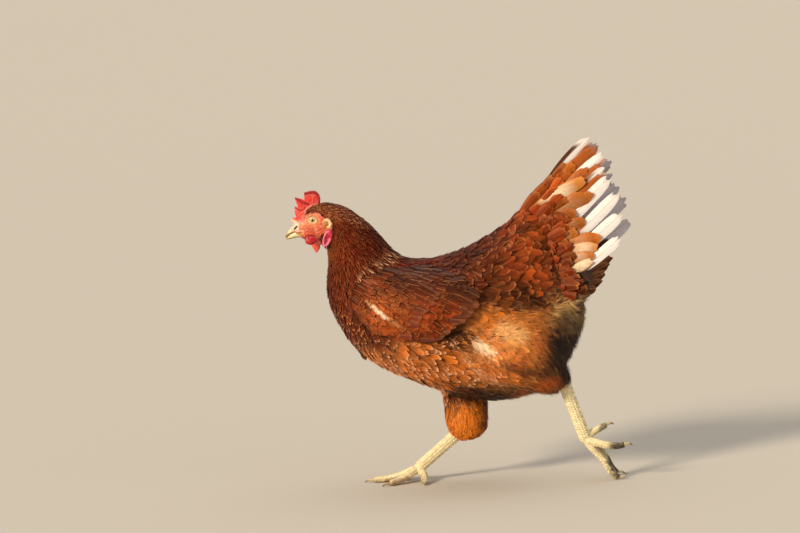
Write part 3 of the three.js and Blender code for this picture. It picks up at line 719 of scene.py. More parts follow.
def tail_cushion():
    """The fleshy root of the tail with its down, under the tent of feathers."""
    way = tail_axes()
    rings = []
    for u in np.linspace(0, 1, 9):
        along = TAIL_CUSHION["from"] + (TAIL_CUSHION["to"] - TAIL_CUSHION["from"]) * u
        full = math.sqrt(1 - TAIL_CUSHION["taper"] * u**3)
        across = full * np.linspace(TENT["ridge"] - 6, TENT["eave"], 9)
        x = TENT["base"][0] + along * way[0] - across * way[1]
        z = TENT["base"][1] + along * way[1] + across * way[0]
        y = (tent_face(x, z) - 1.5).clip(0.6) * full
        one = np.stack([x, y, z], 1)
        other = np.stack([x, -y, z], 1)[::-1]
        rings.append(np.vstack([one, other]))
    return closed(np.array(rings))


body_clay = [clay(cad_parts[node].data) for node in COAT_NODES]
form = blended(*joined([*body_clay, skull, tail_cushion()]), FORM_VOXEL, 8)
form_points, form_faces = clay(form)
form_normals = normals_of(form)
form_surface = BVHTree.FromPolygons(form_points.tolist(), form_faces)
print("coat form:", len(form_faces), "faces")

# %% Where the face is bare
BARE_PARTS = [np.array(outline, float) for outline in [
    # edges in the side view. The face: brow, behind the ear, jaw and chin
    [(-208, 346), (-192, 345.5), (-186.5, 349), (-179, 353), (-172.5, 351.5), (-167, 347),
     (-159, 344), (-155, 338), (-156.5, 331), (-160, 328), (-168, 326), (-171, 321),
     (-176, 317), (-190, 315), (-208, 316)],
    # the comb down to its foot
    [(-210, 340), (-205, 381), (-165, 383), (-168.5, 362.5), (-175, 359.8), (-182, 357.6),
     (-186.5, 354), (-189, 349), (-190.5, 345.5), (-193, 341), (-200, 338)],
    # the wattles
    [(-194, 323), (-190, 310), (-184, 305), (-179, 296), (-173, 299), (-170.5, 312), (-171, 323)],
    # the earlobe
    [(x, z) for x, _, z in lobe_ring(LEFT, 1.06, 0)[:-1]],
]]
FEATHERED_FROM = 3.0  # mm outside that edge the coat has its full depth


def inside(outline, x, z):
    """True where a side view point lies inside an outline."""
    p = np.stack([x, z], -1)[..., None, :]
    a, b = outline, np.roll(outline, -1, 0)
    crosses = (a[:, 1] > p[..., 1]) != (b[:, 1] > p[..., 1])
    fall = np.where(b[:, 1] == a[:, 1], 1e-9, b[:, 1] - a[:, 1])
    return (crosses & (p[..., 0] < a[:, 0] + (p[..., 1] - a[:, 1]) * (b[:, 0] - a[:, 0]) / fall)
            ).sum(-1) % 2 == 1


def outside_of(outline, x, z):
    """How far a side view point lies outside an outline, or inside it where negative."""
    p = np.stack([x, z], -1)[..., None, :]
    a, b = outline, np.roll(outline, -1, 0)
    t = np.clip(((p - a) * (b - a)).sum(-1) / ((b - a) ** 2).sum(-1), 0, 1)
    gap = np.linalg.norm(p - a - t[..., None] * (b - a), axis=-1).min(-1)
    return np.where(inside(outline, x, z), -gap, gap)


def bare_distance(x, z):
    """How far a side view point lies outside the bare parts, or inside where negative."""
    return np.min([outside_of(outline, x, z) for outline in BARE_PARTS], axis=0)


def ease(value, low, high):
    """Rises smoothly from 0 at low to 1 at high."""
    t = np.clip((value - low) / (high - low), 0, 1)
    return t * t * (3 - 2 * t)


def near(distance, full, none):
    """1 up to one distance, fading to 0 at another."""
    return 1 - ease(distance, full, none)


def coat_depth(points):
    """How deep the skin lies under the coat's surface."""
    x, z = points[:, 0], points[:, 2]
    edge = ease(bare_distance(x, z), -0.5, FEATHERED_FROM)
    return edge * (1.2 + 3.6 * ease(-z - 0.35 * x, -310, -230))


print("coat depth on the crown, nape and breast:",
      coat_depth(np.array([(-175, 0, 361), (-110, 0, 335), (-150, 0, 205.0)])).round(1), "mm")

# %% One skin
body = form.copy()
under_face = 1 - ease(bare_distance(form_points[:, 0], form_points[:, 2]), -4.0, 4.0)
sunk = coat_depth(form_points) + 0.4 + 5.0 * under_face
set_places(body, form_points - form_normals * sunk[:, None])
body = worked(body, ("SMOOTH", {"factor": 0.5, "iterations": 3}))

head_points, head_normals = places_of(head), normals_of(head)
behind_face = ease(bare_distance(head_points[:, 0], head_points[:, 2]), 4.0, 12.0)
behind_ear = ease(bare_distance(head_points[:, 0], head_points[:, 2]), 14.0, 40.0)
drawn_in = coat_depth(head_points) + 2.5 * behind_face + 5.0 * behind_ear
set_places(head, head_points - head_normals * drawn_in[:, None])

skin_mesh = body
for name, mesh in [("head", head), *legs.items()]:
    skin_mesh = cut(skin_mesh, name, [clay(mesh)], "UNION")
print("skin:", len(skin_mesh.vertices), "points,", len(skin_mesh.polygons), "faces")

# %% [markdown]
# ## How the coat lies
#
# A hen's feathers point from the beak to the tail and from the spine down, and they follow
# the body like water. Their length grows from a few millimetres on the crown to three or four
# centimetres on the saddle. Combing hair by hand would give this too. Here a few guides in
# the side view say which way the feathers point, how long and wide they are and what colour
# they have, and every feather takes a mean of the guides near it.

# %% Guides
COLOUR = {
    "crown": "#5E2012",
    "nape": "#4E1006",
    "hackle": "#460903",
    "cape": "#501208",
    "throat": "#B4601E",
    "breast": "#4A1306",
    "chest": "#BE682C",
    "belly": "#C2671F",
    # keel is painted shade: the underside of the belly above the legs
    "keel": "#240C05",
    "shoulder": "#853913",
    "back": "#430F05",
    "saddle": "#6A2208",
    "rump": "#963D11",
    "cushion": "#A94E16",
    "tailroot": "#B55F1F",
    "flank": "#BC5717",
    "thigh": "#BE6318",
    # the thigh's highlight colour below is a painted highlight on its fluff
    "thigh_highlight": "#E29C4A",
    "vent": "#C69C5F",
    # down is the rear's dark down, darkened further as painted shade
    "down": "#20130A",
    # drumstick and farleg are one orange, painted as shaded on the near leg and lit on the far one
    "drumstick": "#85380C",
    "farleg": "#E67C10",
    # shade and dusk are painted shade: below the wing, behind the thigh, under the belly and below the
    # saddle
    "shade": "#260F06",
    "dusk": "#4E200E",
    # cream is the thigh's pale fluff with a painted highlight on it
    "cream": "#F0B878",
}
LIE = [
    # x, z, angle from +X, length, half width, fluffiness, colour, side (0 is both)
    (-190, 349, -20, 4.5, 0.6, 0, "crown", 0),
    (-174, 359, -14, 6.5, 0.8, 0, "crown", 0),
    (-163, 351, -24, 7.5, 0.9, 0, "drumstick", 0),
    (-152, 356, -20, 10, 1.1, 0, "nape", 0),
    (-125, 344, -33, 16, 1.5, 0, "nape", 0),
    (-100, 322, -42, 24, 1.7, 0, "hackle", 0),
    (-76, 297, -40, 30, 2.0, 0, "cape", 0),
    (-56, 285, -26, 32, 2.2, 0, "cape", 0),
    (-156, 342, -30, 7, 0.9, 0, "nape", 0),
    (-150, 330, -52, 12, 1.1, 0, "hackle", 0),
    (-160, 315, -84, 8, 0.9, 0, "hackle", 0),
    (-172, 312, -80, 6, 0.8, 0, "throat", 0),
    (-166, 304, -90, 8, 1.1, 0, "throat", 0),
    (-157, 297, -86, 11, 1.2, 0, "hackle", 0),
    (-150, 305, -70, 15, 1.4, 0, "hackle", 0),
    (-135, 310, -55, 20, 1.6, 0, "hackle", 0),
    (-162, 288, -92, 14, 1.4, 0, "hackle", 0),
    (-140, 285, -68, 22, 1.7, 0, "hackle", 0),
    (-115, 290, -54, 26, 1.9, 0, "hackle", 0),
    (-164, 262, -90, 18, 1.8, 0, "hackle", 0),
    (-145, 258, -76, 25, 2.0, 0, "cape", 0),
    (-118, 262, -60, 29, 2.1, 0, "cape", 0),
    (-92, 275, -48, 30, 2.1, 0, "cape", 0),
    (-163, 236, -84, 20, 2.7, 0, "breast", 0),
    (-140, 232, -70, 26, 3.1, 0, "breast", 0),
    (-150, 205, -62, 24, 3.7, 0, "breast", 0),
    (-120, 208, -46, 26, 4.4, 0, "breast", 0),
    (-126, 178, -50, 26, 4.8, 0, "chest", 0),
    (-96, 156, -34, 28, 5.2, 0, "chest", 0),
    (-80, 192, -28, 30, 5.4, 0, "chest", 0),
    (-52, 131, -25, 30, 5.2, 0, "belly", 0),
    (-40, 168, -18, 32, 5.7, 0, "belly", 0),
    # keel: painted shade on the underside
    (-12, 117, -16, 29, 4.9, 0, "keel", 0),
    (0, 152, -14, 33, 5.8, 0, "belly", 0),
    # keel and shade rows: painted shade under the belly, below the wing and behind the thigh
    (16, 118, -10, 25, 3.9, 0.3, "keel", 0),
    (46, 118, -8, 25, 3.7, 0.5, "keel", 0),
    (76, 114, -8, 22, 3.7, 0.8, "shade", 0),
    (-30, 186, -8, 20, 4.0, 0, "shade", 0),
    (-12, 193, -8, 22, 4.4, 0, "shade", 0),
    (4, 190, -14, 28, 6.0, 0.4, "thigh", -1),
    (116, 160, -58, 21, 4.0, 0.9, "shade", -1),
    (108, 172, -50, 22, 4.4, 0.9, "shade", -1),
    (100, 134, -50, 20, 4.0, 0.8, "shade", -1),
    (112, 142, -60, 16, 3.4, 0.6, "shade", -1),
    (40, 144, -14, 29, 5.2, 0.1, "belly", 0),
    (-62, 276, -18, 26, 4.6, 0, "back", 0),
    (-20, 281, -2, 25, 5.2, 0, "back", 0),
    (20, 291, 12, 25, 5.6, 0, "back", 0),
    (50, 306, 26, 26, 6.0, 0, "saddle", 0),
    (76, 331, 42, 28, 6.2, 0, "rump", 0),
    (84, 308, 32, 29, 6.7, 0, "cushion", 0),
    (100, 356, 52, 30, 6.2, 0, "tailroot", 0),
    (10, 262, -6, 26, 6.0, 0, "back", 0),
    (45, 275, 6, 27, 6.4, 0, "saddle", 0),
    (78, 294, 24, 28, 6.6, 0, "rump", 0),
    (104, 322, 42, 31, 6.8, 0, "cushion", 0),
    # dusk: painted shade below the saddle
    (45, 240, -12, 27, 6.8, 0, "dusk", 0),
    (80, 258, 2, 28, 7.0, 0, "rump", 0),
    (110, 278, 22, 31, 7.2, 0, "saddle", 0),
    (135, 300, 36, 33, 7.2, 0, "tailroot", 0),
    (90, 234, -14, 27, 6.6, 0.1, "dusk", 0),
    (104, 250, -6, 26, 6.0, 0.1, "dusk", 0),
    (122, 243, 0, 26, 6.0, 0.5, "saddle", 0),
    (122, 221, -12, 24, 5.4, 0.8, "vent", 0),
    (148, 262, 20, 28, 5.6, 0.6, "down", 0),
    (26, 222, -8, 30, 6.6, 0.3, "thigh", -1),
    (40, 206, -10, 33, 7.2, 0.45, "thigh", -1),
    (78, 208, -14, 34, 7.2, 0.6, "thigh", -1),
    # painted highlights on the thigh's fluff
    (54, 192, -16, 32, 7.0, 0.6, "thigh_highlight", -1),
    (22, 180, -34, 22, 6.0, 0.6, "cream", -1),
    (23, 197, -20, 30, 6.6, 0.5, "thigh", -1),
    (38, 178, -24, 30, 6.6, 0.5, "thigh", -1),
    (24, 163, -26, 30, 6.0, 0.4, "flank", -1),
    (56, 166, -24, 32, 7.0, 0.5, "flank", -1),
    (86, 182, -34, 30, 7.0, 0.6, "flank", -1),
    # drumstick: the near leg's orange, darkened as painted shade
    (62, 140, -28, 28, 5.4, 0.4, "drumstick", -1),
    (92, 148, -46, 24, 5.4, 0.6, "thigh", -1),
    (110, 127, -60, 12, 3.0, 0.3, "drumstick", -1),
    (118, 124, -72, 8, 2.2, 0.1, "drumstick", -1),
    (38, 196, -12, 32, 7.2, 0.1, "flank", 1),
    (70, 170, -24, 30, 7.0, 0.3, "flank", 1),
    # down: dark down, darkened further as painted shade
    (140, 222, -22, 24, 4.6, 0.9, "down", 0),
    (134, 185, -52, 22, 4.2, 1.0, "down", 0),
    (122, 140, -62, 20, 4.0, 1.0, "down", 0),
    (100, 114, -35, 20, 4.0, 1.0, "shade", 0),
    (66, 108, -14, 22, 4.4, 0.7, "flank", 0),
    (10, 165, -55, 22, 5.4, 0.1, "flank", 1),
    # farleg: the far leg's orange, painted as lit
    (6, 130, -84, 13, 3.0, 0.4, "farleg", 1),
    (1, 92, -90, 10.0, 1.9, 0.6, "farleg", 1),
    (3, 62, -92, 6.0, 1.3, 0.45, "farleg", 1),
]
GUIDE_REACH = 9.0  # mm within which one guide alone decides
GUIDE_FALL = -1.8  # how fast its say falls with the square of the distance
FAR_SIDE = 1e-6  # what a guide of one side still says on the other


def guides(rows):
    """Places of guides in the side view, and what they say: way (2), sizes and colour (3)."""
    colour_at = [type(value) for value in rows[0]].index(str)
    turns = np.radians([row[2] for row in rows])
    says = np.column_stack([np.cos(turns), np.sin(turns), [row[3:colour_at] for row in rows],
                            [linear(COLOUR[row[colour_at]]) for row in rows]])
    return np.array([row[:2] for row in rows], float), says


def guides_mean(places, says, flat, share=1.0):
    """The mean of what the guides say at points of the side view."""
    gap = ((flat[:, None] - places) ** 2).sum(-1)
    weight = (gap + GUIDE_REACH**2) ** GUIDE_FALL * share
    return weight @ says / weight.sum(1, keepdims=True)


BODY_GUIDES = guides(LIE)
GUIDE_SIDES = np.array([row[7] for row in LIE])


def coat_at(points):
    """The guides' mean at each point: way in the side view (2), length, half width,
    fluffiness and colour (3)."""
    other_side = np.sign(points[:, 1:2]) * GUIDE_SIDES < 0
    return guides_mean(*BODY_GUIDES, points[:, [0, 2]], np.where(other_side, FAR_SIDE, 1.0))


print(len(LIE), "guides; a saddle feather is", coat_at(np.array([(60.0, 40, 285)]))[0, 2].round(),
      "mm long")

# %% Small marks: painted shade and highlights, and a few of colour
BODY_MARKS = [
    # ends in the side view, half width, how far it fades out, strength, colour, side
    ((-44, 187.5), (-2, 201.5), 1.6, 3.4, 0.93, "#0C0402", LEFT),  # painted shadow below the wing's edge
    ((-14, 112), (48, 107), 4.5, 8.0, 0.92, "#0E0603", 0),  # painted shade between keel and leg
    ((128, 204), (121, 176), 4.0, 13.0, 0.74, "#24140A", LEFT),  # painted shade on the rear and lower rear of the thigh
    ((120, 176), (106, 142), 4.0, 13.0, 0.76, "#1F0F06", LEFT),
    ((130, 168), (128, 140), 6.0, 10.0, 0.70, "#1F0F06", 0),
    ((54, 154), (94, 141), 3.5, 7.0, 0.66, "#2A1006", LEFT),
    ((-36, 132), (-2, 123), 2.5, 6.5, 0.58, "#3A1408", LEFT),  # shade along the keel
    ((-2, 123), (26, 113), 2.5, 6.5, 0.66, "#32110A", LEFT),
    ((26, 94), (23, 62), 1.0, 7.5, 0.74, "#2A0F04", 0),  # painted shade on the back and end of the drumstick
    ((22, 57), (4, 50), 0.8, 4.5, 0.66, "#32140A", 0),
    ((26, 241), (92, 228), 4.0, 8.0, 0.70, "#33140A", LEFT),  # painted shade below the saddle
    ((79, 249), (82, 241), 2.0, 4.0, 0.85, "#120703", LEFT),
    ((18, 184), (34, 172.5), 2.6, 5.5, 0.80, "#FFE9C2", LEFT),  # painted highlights on the thigh's pale fluff
    ((50, 201), (72, 191), 4.0, 10.0, 0.42, "#FFCE88", LEFT),
    ((94, 122), (112, 128), 4.0, 5.0, 0.60, "#C4500E", LEFT),  # orange of the hock's tuft where it is lit: painted light
    ((1, 170), (13, 149), 0.7, 1.9, 0.62, "#F0B478", LEFT),  # pale streaks along the belly
    ((14, 150), (35, 134), 0.8, 2.0, 0.66, "#F4B88C", LEFT),
    ((34, 132), (58, 121), 0.6, 1.9, 0.58, "#E8A878", LEFT),
    ((6, 150), (24, 134), 0.4, 1.5, 0.50, "#E49C74", LEFT),
]
TOE_MARKS = [  # darker brown patches on the toes of the raised foot, and a few paler ones low on the other foot
    ((184, 43), (197, 44), 2.5, 13.0, 0.96, "#3A2416", LEFT),
    ((172, 64), (177, 67), 3.0, 9.0, 0.75, "#4A3018", LEFT),
    ((180, 22), (188, 6), 3.0, 11.0, 0.95, "#3A2416", LEFT),
    ((160, 40), (170, 34), 1.0, 6.0, 0.50, "#6A4C30", LEFT),
    ((-104, 2), (-78, 7), 1.0, 3.5, 0.55, "#8A5A34", 0),
    ((-58, 3), (-60, 9), 1.0, 3.0, 0.45, "#8A5A34", 0),
]


def mark_cover(points, mark):
    """How far a mark covers each point. Its outline is frayed."""
    (ax, az), (bx, bz), half, reach, strength, _, side = mark
    x, y, z = np.moveaxis(points, -1, 0)
    span = (bx - ax) ** 2 + (bz - az) ** 2
    run = (((x - ax) * (bx - ax) + (z - az) * (bz - az)) / span).clip(0, 1)
    fray = crinkle(points.reshape(-1, 3), 6.0, 12).reshape(x.shape)
    gap = np.hypot(x - ax - run * (bx - ax), z - az - run * (bz - az)) + 0.25 * reach * fray
    return strength * near(gap, half, half + reach) * (np.sign(y) * side >= 0)


def shifted(points, much, rng):
    """Each feather's points moved a little, so that a mark's edge is ragged there."""
    shift = rng.normal(0, much, (len(points),) + (1,) * (points.ndim - 2) + (3,))
    return points + shift * np.array([1.0, 0.0, 1.0])


def marked(points, colours, marks):
    """Lays the small marks over the colours of the tracts."""
    for mark in marks:
        cover = mark_cover(points, mark)[..., None]
        colours = colours * (1 - cover) + linear(mark[5]) * cover
    return colours


def unmarked(points, marks):
    return np.prod([1 - mark_cover(points, mark) for mark in marks], axis=0)


print(len(BODY_MARKS), "marks on the body,", len(TOE_MARKS), "on the feet")

# %% [markdown]
# ## One feather
#
# A feather is a thin blade with a stiff shaft in its middle, crowned like a roof tile. Hairs
# drawn as curves would look alike in a render but would be lost when the model is handed
# on, so each feather is a small mesh: rows along the shaft, and columns across it. All the
# feathers of one tract are worked out at once, as arrays, which takes a second for
# thousands. Two sets of coordinates go with them. One runs across and along each feather, and
# its material draws the shaft and the barbs with it. The other, for baking, puts each feather
# at its root's place on a flat map of the skin.

# %% Shapes of feathers
SHAPES = {
    # half widths from root to tip as shares of the widest, how far the end's corners are
    # drawn back as a share of the half width, and camber
    "hackle": ([0.45, 0.85, 1.0, 0.9, 0.62, 0.08], 0.0, 0.45),
    "scale": ([0.50, 0.85, 1.0, 1.0, 0.94, 0.66], 0.75, 0.30),
    "pointed": ([0.50, 0.88, 1.0, 0.98, 0.88, 0.52], 0.75, 0.32),
    "quill": ([0.30, 0.62, 0.82, 0.94, 1.0, 1.0, 0.98, 0.90, 0.68], 0.8, 0.20),
    "covert": ([0.40, 0.75, 0.95, 1.0, 1.0, 0.97, 0.74], 0.8, 0.26),
    "vane": ([0.22, 0.42, 0.62, 0.78, 0.90, 0.97, 1.0, 1.0, 0.90], 0.9, 0.16),
}
BAKE_PATCH = 0.003  # width of a feather on the flat map


def blades(shaft, normals, half, shape, columns, rng, ragged=0.05, roll=0.0):
    """Points of many feathers, (feather, row, column, 3), along shafts (feather, row, 3)."""
    widths, round_end, camber = SHAPES[shape]
    count, rows = shaft.shape[:2]
    q = np.linspace(-1, 1, columns)
    s = np.linspace(0, 1, rows)
    along = unit(np.gradient(shaft, axis=1))
    across = unit(np.cross(along, normals))
    wide = np.interp(s, np.linspace(0, 1, len(widths)), widths)[None, :, None] * half[:, None, None]
    length = np.linalg.norm(np.diff(shaft, axis=1), axis=2).sum(1)
    corners = round_end * half[:, None] * (1 - np.sqrt(1 - 0.98 * q**2))
    pull = corners + length[:, None] * ragged * rng.uniform(-1, 1, (count, columns))
    pull = (s**3)[None, :, None] * pull[:, None, :]
    off = wide * q
    drop = -camber * wide * q**2 + roll * off
    return (shaft[:, :, None] + across[:, :, None] * off[..., None]
            + normals[:, :, None] * drop[..., None] - along[:, :, None] * pull[..., None])


def feather_mesh(name, points, colours, quill, bake):
    """One mesh of many feathers, with the colours and coordinates that their shader reads.
    The quill values are a random number, and the strength of the shaft and of the lacing."""
    count, rows, columns = points.shape[:3]
    corner = np.arange(rows * columns).reshape(rows, columns)
    quads = np.stack([corner[:-1, :-1], corner[:-1, 1:], corner[1:, 1:], corner[1:, :-1]], -1)
    quads = quads.reshape(-1, 4)
    faces = (np.arange(count)[:, None, None] * rows * columns + quads).reshape(-1, 4)
    mesh = bpy.data.meshes.new(name)
    mesh.vertices.add(count * rows * columns)
    mesh.vertices.foreach_set("co", (points.reshape(-1) * MM).astype(np.float32))
    mesh.loops.add(faces.size)
    mesh.loops.foreach_set("vertex_index", faces.astype(np.int32).ravel())
    mesh.polygons.add(len(faces))
    mesh.polygons.foreach_set("loop_start", np.arange(0, faces.size, 4, dtype=np.int32))
    mesh.update(calc_edges=True)
    paint(mesh, "Coat", colours.reshape(-1, 3))
    paint(mesh, "Quill", np.repeat(quill, rows * columns, axis=0))
    u, v = np.linspace(0, 1, columns), np.linspace(0, 1, rows)
    grid = np.stack(np.broadcast_arrays(u[None, :], v[:, None]), -1).reshape(-1, 2)
    vane = np.tile(grid, (count, 1))[faces.ravel()]
    patch = (bake[:, None] + (grid - 0.5) * BAKE_PATCH).reshape(-1, 2)[faces.ravel()]
    for label, places in (("Vane", vane), ("OFBake", patch)):
        layer = mesh.uv_layers.new(name=label)
        layer.data.foreach_set("uv", places.astype(np.float32).ravel())
    return mesh


print("shapes:", ", ".join(SHAPES))

# %% The flat map of the skin
MAP_SPINE = np.array([(-186, 336), (-168, 335), (-148, 318), (-128, 285), (-112, 250), (-80, 220),
                      (-30, 205), (30, 208), (90, 225), (130, 255), (160, 330), (185, 400)], float)
MAP_ROOM = {"body": (0.02, 0.02, 0.60, 0.96), "left": (0.64, 0.02, 0.16, 0.46),
            "right": (0.82, 0.02, 0.16, 0.46), "wings": (0.64, 0.52, 0.34, 0.22),
            "tail": (0.64, 0.77, 0.34, 0.21)}


def body_map(points):
    """Unrolls the body: along its spine, and round it from the belly to the back and on."""
    p = points[:, None, [0, 2]]
    a, b = MAP_SPINE[:-1], MAP_SPINE[1:]
    t = np.clip(((p - a) * (b - a)).sum(-1) / ((b - a) ** 2).sum(-1), 0, 1)
    foot = a + t[..., None] * (b - a)
    gap = np.linalg.norm(p - foot, axis=-1)
    best = gap.argmin(1)
    rows = np.arange(len(points))
    lengths = np.linalg.norm(b - a, axis=1)
    run = np.concatenate([[0], np.cumsum(lengths)])
    along = (run[best] + t[rows, best] * lengths[best]) / run[-1]
    way = ((b - a) / lengths[:, None])[best]
    out = points[:, [0, 2]] - foot[rows, best]
    over = out[:, 1] * way[:, 0] - out[:, 0] * way[:, 1]
    turn = np.arctan2(points[:, 1], over) / (2 * np.pi) + 0.5
    return along, turn


def on_map(room, across, up):
    x, y, width, height = MAP_ROOM[room]
    return np.column_stack([x + width * np.clip(across, 0, 1), y + height * np.clip(up, 0, 1)])


print("flat map rooms:", ", ".join(MAP_ROOM))

# %% [markdown]
# ## Feather as a material
#
# A feather is keratin, like a fingernail, built as a shaft with barbs that hook into a
# blade. The pigment in the barbs gives the brown, and the smooth barbs give a silky gleam
# along the feather. So the colour comes from the mesh, the barbs are fine slanting streaks
# on both sides of the shaft, about 0.8 mm apart (real ones are nearer 0.3 mm, too fine to
# show), and the shaft is a pale line that fades towards the tip.

# %% Feather keratin
RELIEF = 0.0004  # metres that barbs and pimples stand up
BARBS_ACROSS = 26.0  # streaks along one feather
BARB_SLANT = 9.0  # how far they lean towards the tip


def feather_keratin(name, gloss=0.42, shaft_colour="#D89A5C", shaft_width=0.045,
                    contrast=0.55, lace_colour="#E0905A", root_shade=0.6, gleam="#FFB080"):
    """Pigmented feather: silky, with a low gleam, streaked by its barbs, darker near its root for its
    darker base and as painted shade under the feathers over it, and laced with a pale edge."""
    material, tree, shader = new_material(name, {
        "Roughness": gloss, "Specular IOR Level": 0.30, "Specular Tint": rgba(gleam),
    })
    coat = add(tree, "ShaderNodeVertexColor", layer_name="Coat").outputs["Color"]
    quill = add(tree, "ShaderNodeVertexColor", layer_name="Quill").outputs["Color"]
    quill = add(tree, "ShaderNodeSeparateColor", {"Color": quill}).outputs
    vane = add(tree, "ShaderNodeUVMap", uv_map="Vane").outputs["UV"]
    vane = add(tree, "ShaderNodeSeparateXYZ", {"Vector": vane}).outputs
    made = {"x": vane["X"], "y": vane["Y"], "random": quill["Red"],
            "shaft strength": quill["Green"], "lacing": quill["Blue"]}
    steps = [
        # result, operation, and what it works on: numbers, or results made before
        ("off middle", "SUBTRACT", "x", 0.5),
        ("from shaft", "ABSOLUTE", "off middle"),
        ("row", "MULTIPLY", "y", BARBS_ACROSS),
        ("lean", "MULTIPLY", "from shaft", BARB_SLANT),
        ("slanted", "SUBTRACT", "row", "lean"),
        ("across", "MULTIPLY", "from shaft", 3.0),
        ("own place", "MULTIPLY", "random", 97.0),
        ("barbs", "NOISE", "slanted", "across", "own place"),
        ("uneven", "SUBTRACT", "barbs", 0.5),
        ("streak", "MULTIPLY_ADD", "uneven", 2 * contrast, 1.0),
        ("out", "MULTIPLY", "from shaft", 2.0),
        ("inner", "SUBTRACT", 1.0, "out"),
        ("lower", "SUBTRACT", 1.0, "y"),
        ("root", "MULTIPLY", "inner", "lower"),
        # painted shade towards the root, under the feathers that lie over it, with the feather's
        # darker base
        ("shade", "MULTIPLY_ADD", "root", -root_shade, 1.0),
        ("value", "MULTIPLY", "streak", "shade"),
        ("by the side", "SMOOTHSTEP", "out", 0.74, 1.0),
        ("past the root", "SMOOTHSTEP", "y", 0.35, 0.85),
        ("side edge", "MULTIPLY", "by the side", "past the root"),
        ("frayed", "MULTIPLY_ADD", "barbs", 0.16, "y"),
        ("end", "SMOOTHSTEP", "frayed", 0.94, 1.09),
        ("edge", "MAXIMUM", "side edge", "end"),
        ("lace", "MULTIPLY", "edge", "lacing"),
        ("on shaft", "SMOOTHSTEP", "from shaft", shaft_width, 0.35 * shaft_width),
        ("fading", "MULTIPLY", "y", 0.45),
        ("fade", "SUBTRACT", 1.0, "fading"),
        ("faded shaft", "MULTIPLY", "on shaft", "fade"),
        ("shaft", "MULTIPLY", "faded shaft", "shaft strength"),
        ("barb relief", "MULTIPLY", "barbs", 0.6),
        ("relief", "ADD", "barb relief", "shaft"),
    ]
    for result, operation, *values in steps:
        values = [made[value] if isinstance(value, str) else value for value in values]
        if operation == "NOISE":
            place = add(tree, "ShaderNodeCombineXYZ", dict(zip("XYZ", values)))
            node = add(tree, "ShaderNodeTexNoise", {"Vector": place.outputs[0], "Scale": 1.0,
                                                    "Detail": 3.0, "Roughness": 0.6})
        elif operation == "SMOOTHSTEP":
            inputs = dict(zip(("Value", "From Min", "From Max"), values))
            node = add(tree, "ShaderNodeMapRange", inputs, interpolation_type=operation)
        else:
            node = add(tree, "ShaderNodeMath", dict(enumerate(values)), operation=operation)
        made[result] = node.outputs[0]
    tinted = add(tree, "ShaderNodeVectorMath", {0: coat, "Scale": made["value"]},
                 operation="SCALE").outputs[0]
    for share, code in ((made["lace"], lace_colour), (made["shaft"], shaft_colour)):
        tinted = add(tree, "ShaderNodeMix", {"Factor": share, 6: tinted, 7: rgba(code)},
                     data_type="RGBA").outputs[2]
    tree.links.new(tinted, shader.inputs["Base Color"])
    bump = add(tree, "ShaderNodeBump", {"Height": made["relief"], "Strength": 0.55,
                                        "Distance": RELIEF})
    tree.links.new(bump.outputs["Normal"], shader.inputs["Normal"])
    return material


coat_feather = feather_keratin("body_feather_keratin")
breast_feather = feather_keratin("breast_feather_keratin", lace_colour="#F2B488")
hackle_feather = feather_keratin("hackle_keratin", lace_colour="#EE9E66", gleam="#FF7C4A")
print("feather materials read the colours", "Coat and Quill")

# %% Sowing roots over the form
corners = form_points[np.array([face[:4] for face in form_faces])]
face_area = np.linalg.norm(np.cross(corners[:, 2] - corners[:, 0], corners[:, 3] - corners[:, 1]),
                           axis=1) / 2
face_normal = unit(form_normals[np.array([face[:4] for face in form_faces])].mean(1))


FITTING = 4.0  # roots tried for each one that would fit
AROUND = [(a, b, c) for a in (-1, 0, 1) for b in (-1, 0, 1) for c in (-1, 0, 1)]


def crowded(place, limit, cell, taken):
    """True where a root taken before stands nearer than the limit, which is squared."""
    x, y, z = cell
    for a, b, c in AROUND:
        for other in taken.get((x + a, y + b, z + c), ()):
            gap = other - place
            if gap[0] * gap[0] + gap[1] * gap[1] + gap[2] * gap[2] < limit:
                return True
    return False


def sow(wanted, spacing, rng):
    """Scatters roots over the form where wanted(points) holds, a spacing apart or more."""
    middle = corners.mean(1)
    here = np.flatnonzero(wanted(middle))
    gap = spacing(middle[here])
    tries = rng.poisson(face_area[here] / gap**2 * FITTING)
    pick = np.repeat(here, tries)
    gaps = np.repeat(gap, tries)
    u, v = rng.random((2, len(pick), 1))
    c = corners[pick]
    points = (c[:, 0] * (1 - u) + c[:, 1] * u) * (1 - v) + (c[:, 3] * (1 - u) + c[:, 2] * u) * v
    cells = np.floor(points / float(gap.max())).astype(int)
    taken, kept = {}, []
    for i in rng.permutation(len(points)):
        cell = tuple(cells[i])
        if not crowded(points[i], gaps[i] ** 2, cell, taken):
            taken.setdefault(cell, []).append(points[i])
            kept.append(i)
    return points[kept], face_normal[pick[kept]]


PATCH = {"size": 18.0, "lean": 0.16}  # mm, and radians that a whole patch leans together
FLAT_WAVE = 1.1  # how much more feathers stray in the side view than across


def way_on(points, normals, wobble):
    """The way a feather points there: the guides' way, laid in the surface."""
    guide = coat_at(points)
    wave = FLAT_WAVE * wobble
    turned = [guide[:, 0] * np.cos(wave) - guide[:, 1] * np.sin(wave),
              guide[:, 0] * np.sin(wave) + guide[:, 1] * np.cos(wave)]
    flat = unit(np.column_stack([turned[0], wobble, turned[1]]))
    flat = flat - normals * (flat * normals).sum(1, keepdims=True)
    return unit(flat)


def onto_form(points):
    """The nearest places on the form, and the way out from it there."""
    places, outs = np.empty_like(points), np.empty_like(points)
    for i, p in enumerate(points.tolist()):
        place, _, face, _ = form_surface.find_nearest(p)
        places[i] = place
        outs[i] = face_normal[face]
    return places, outs


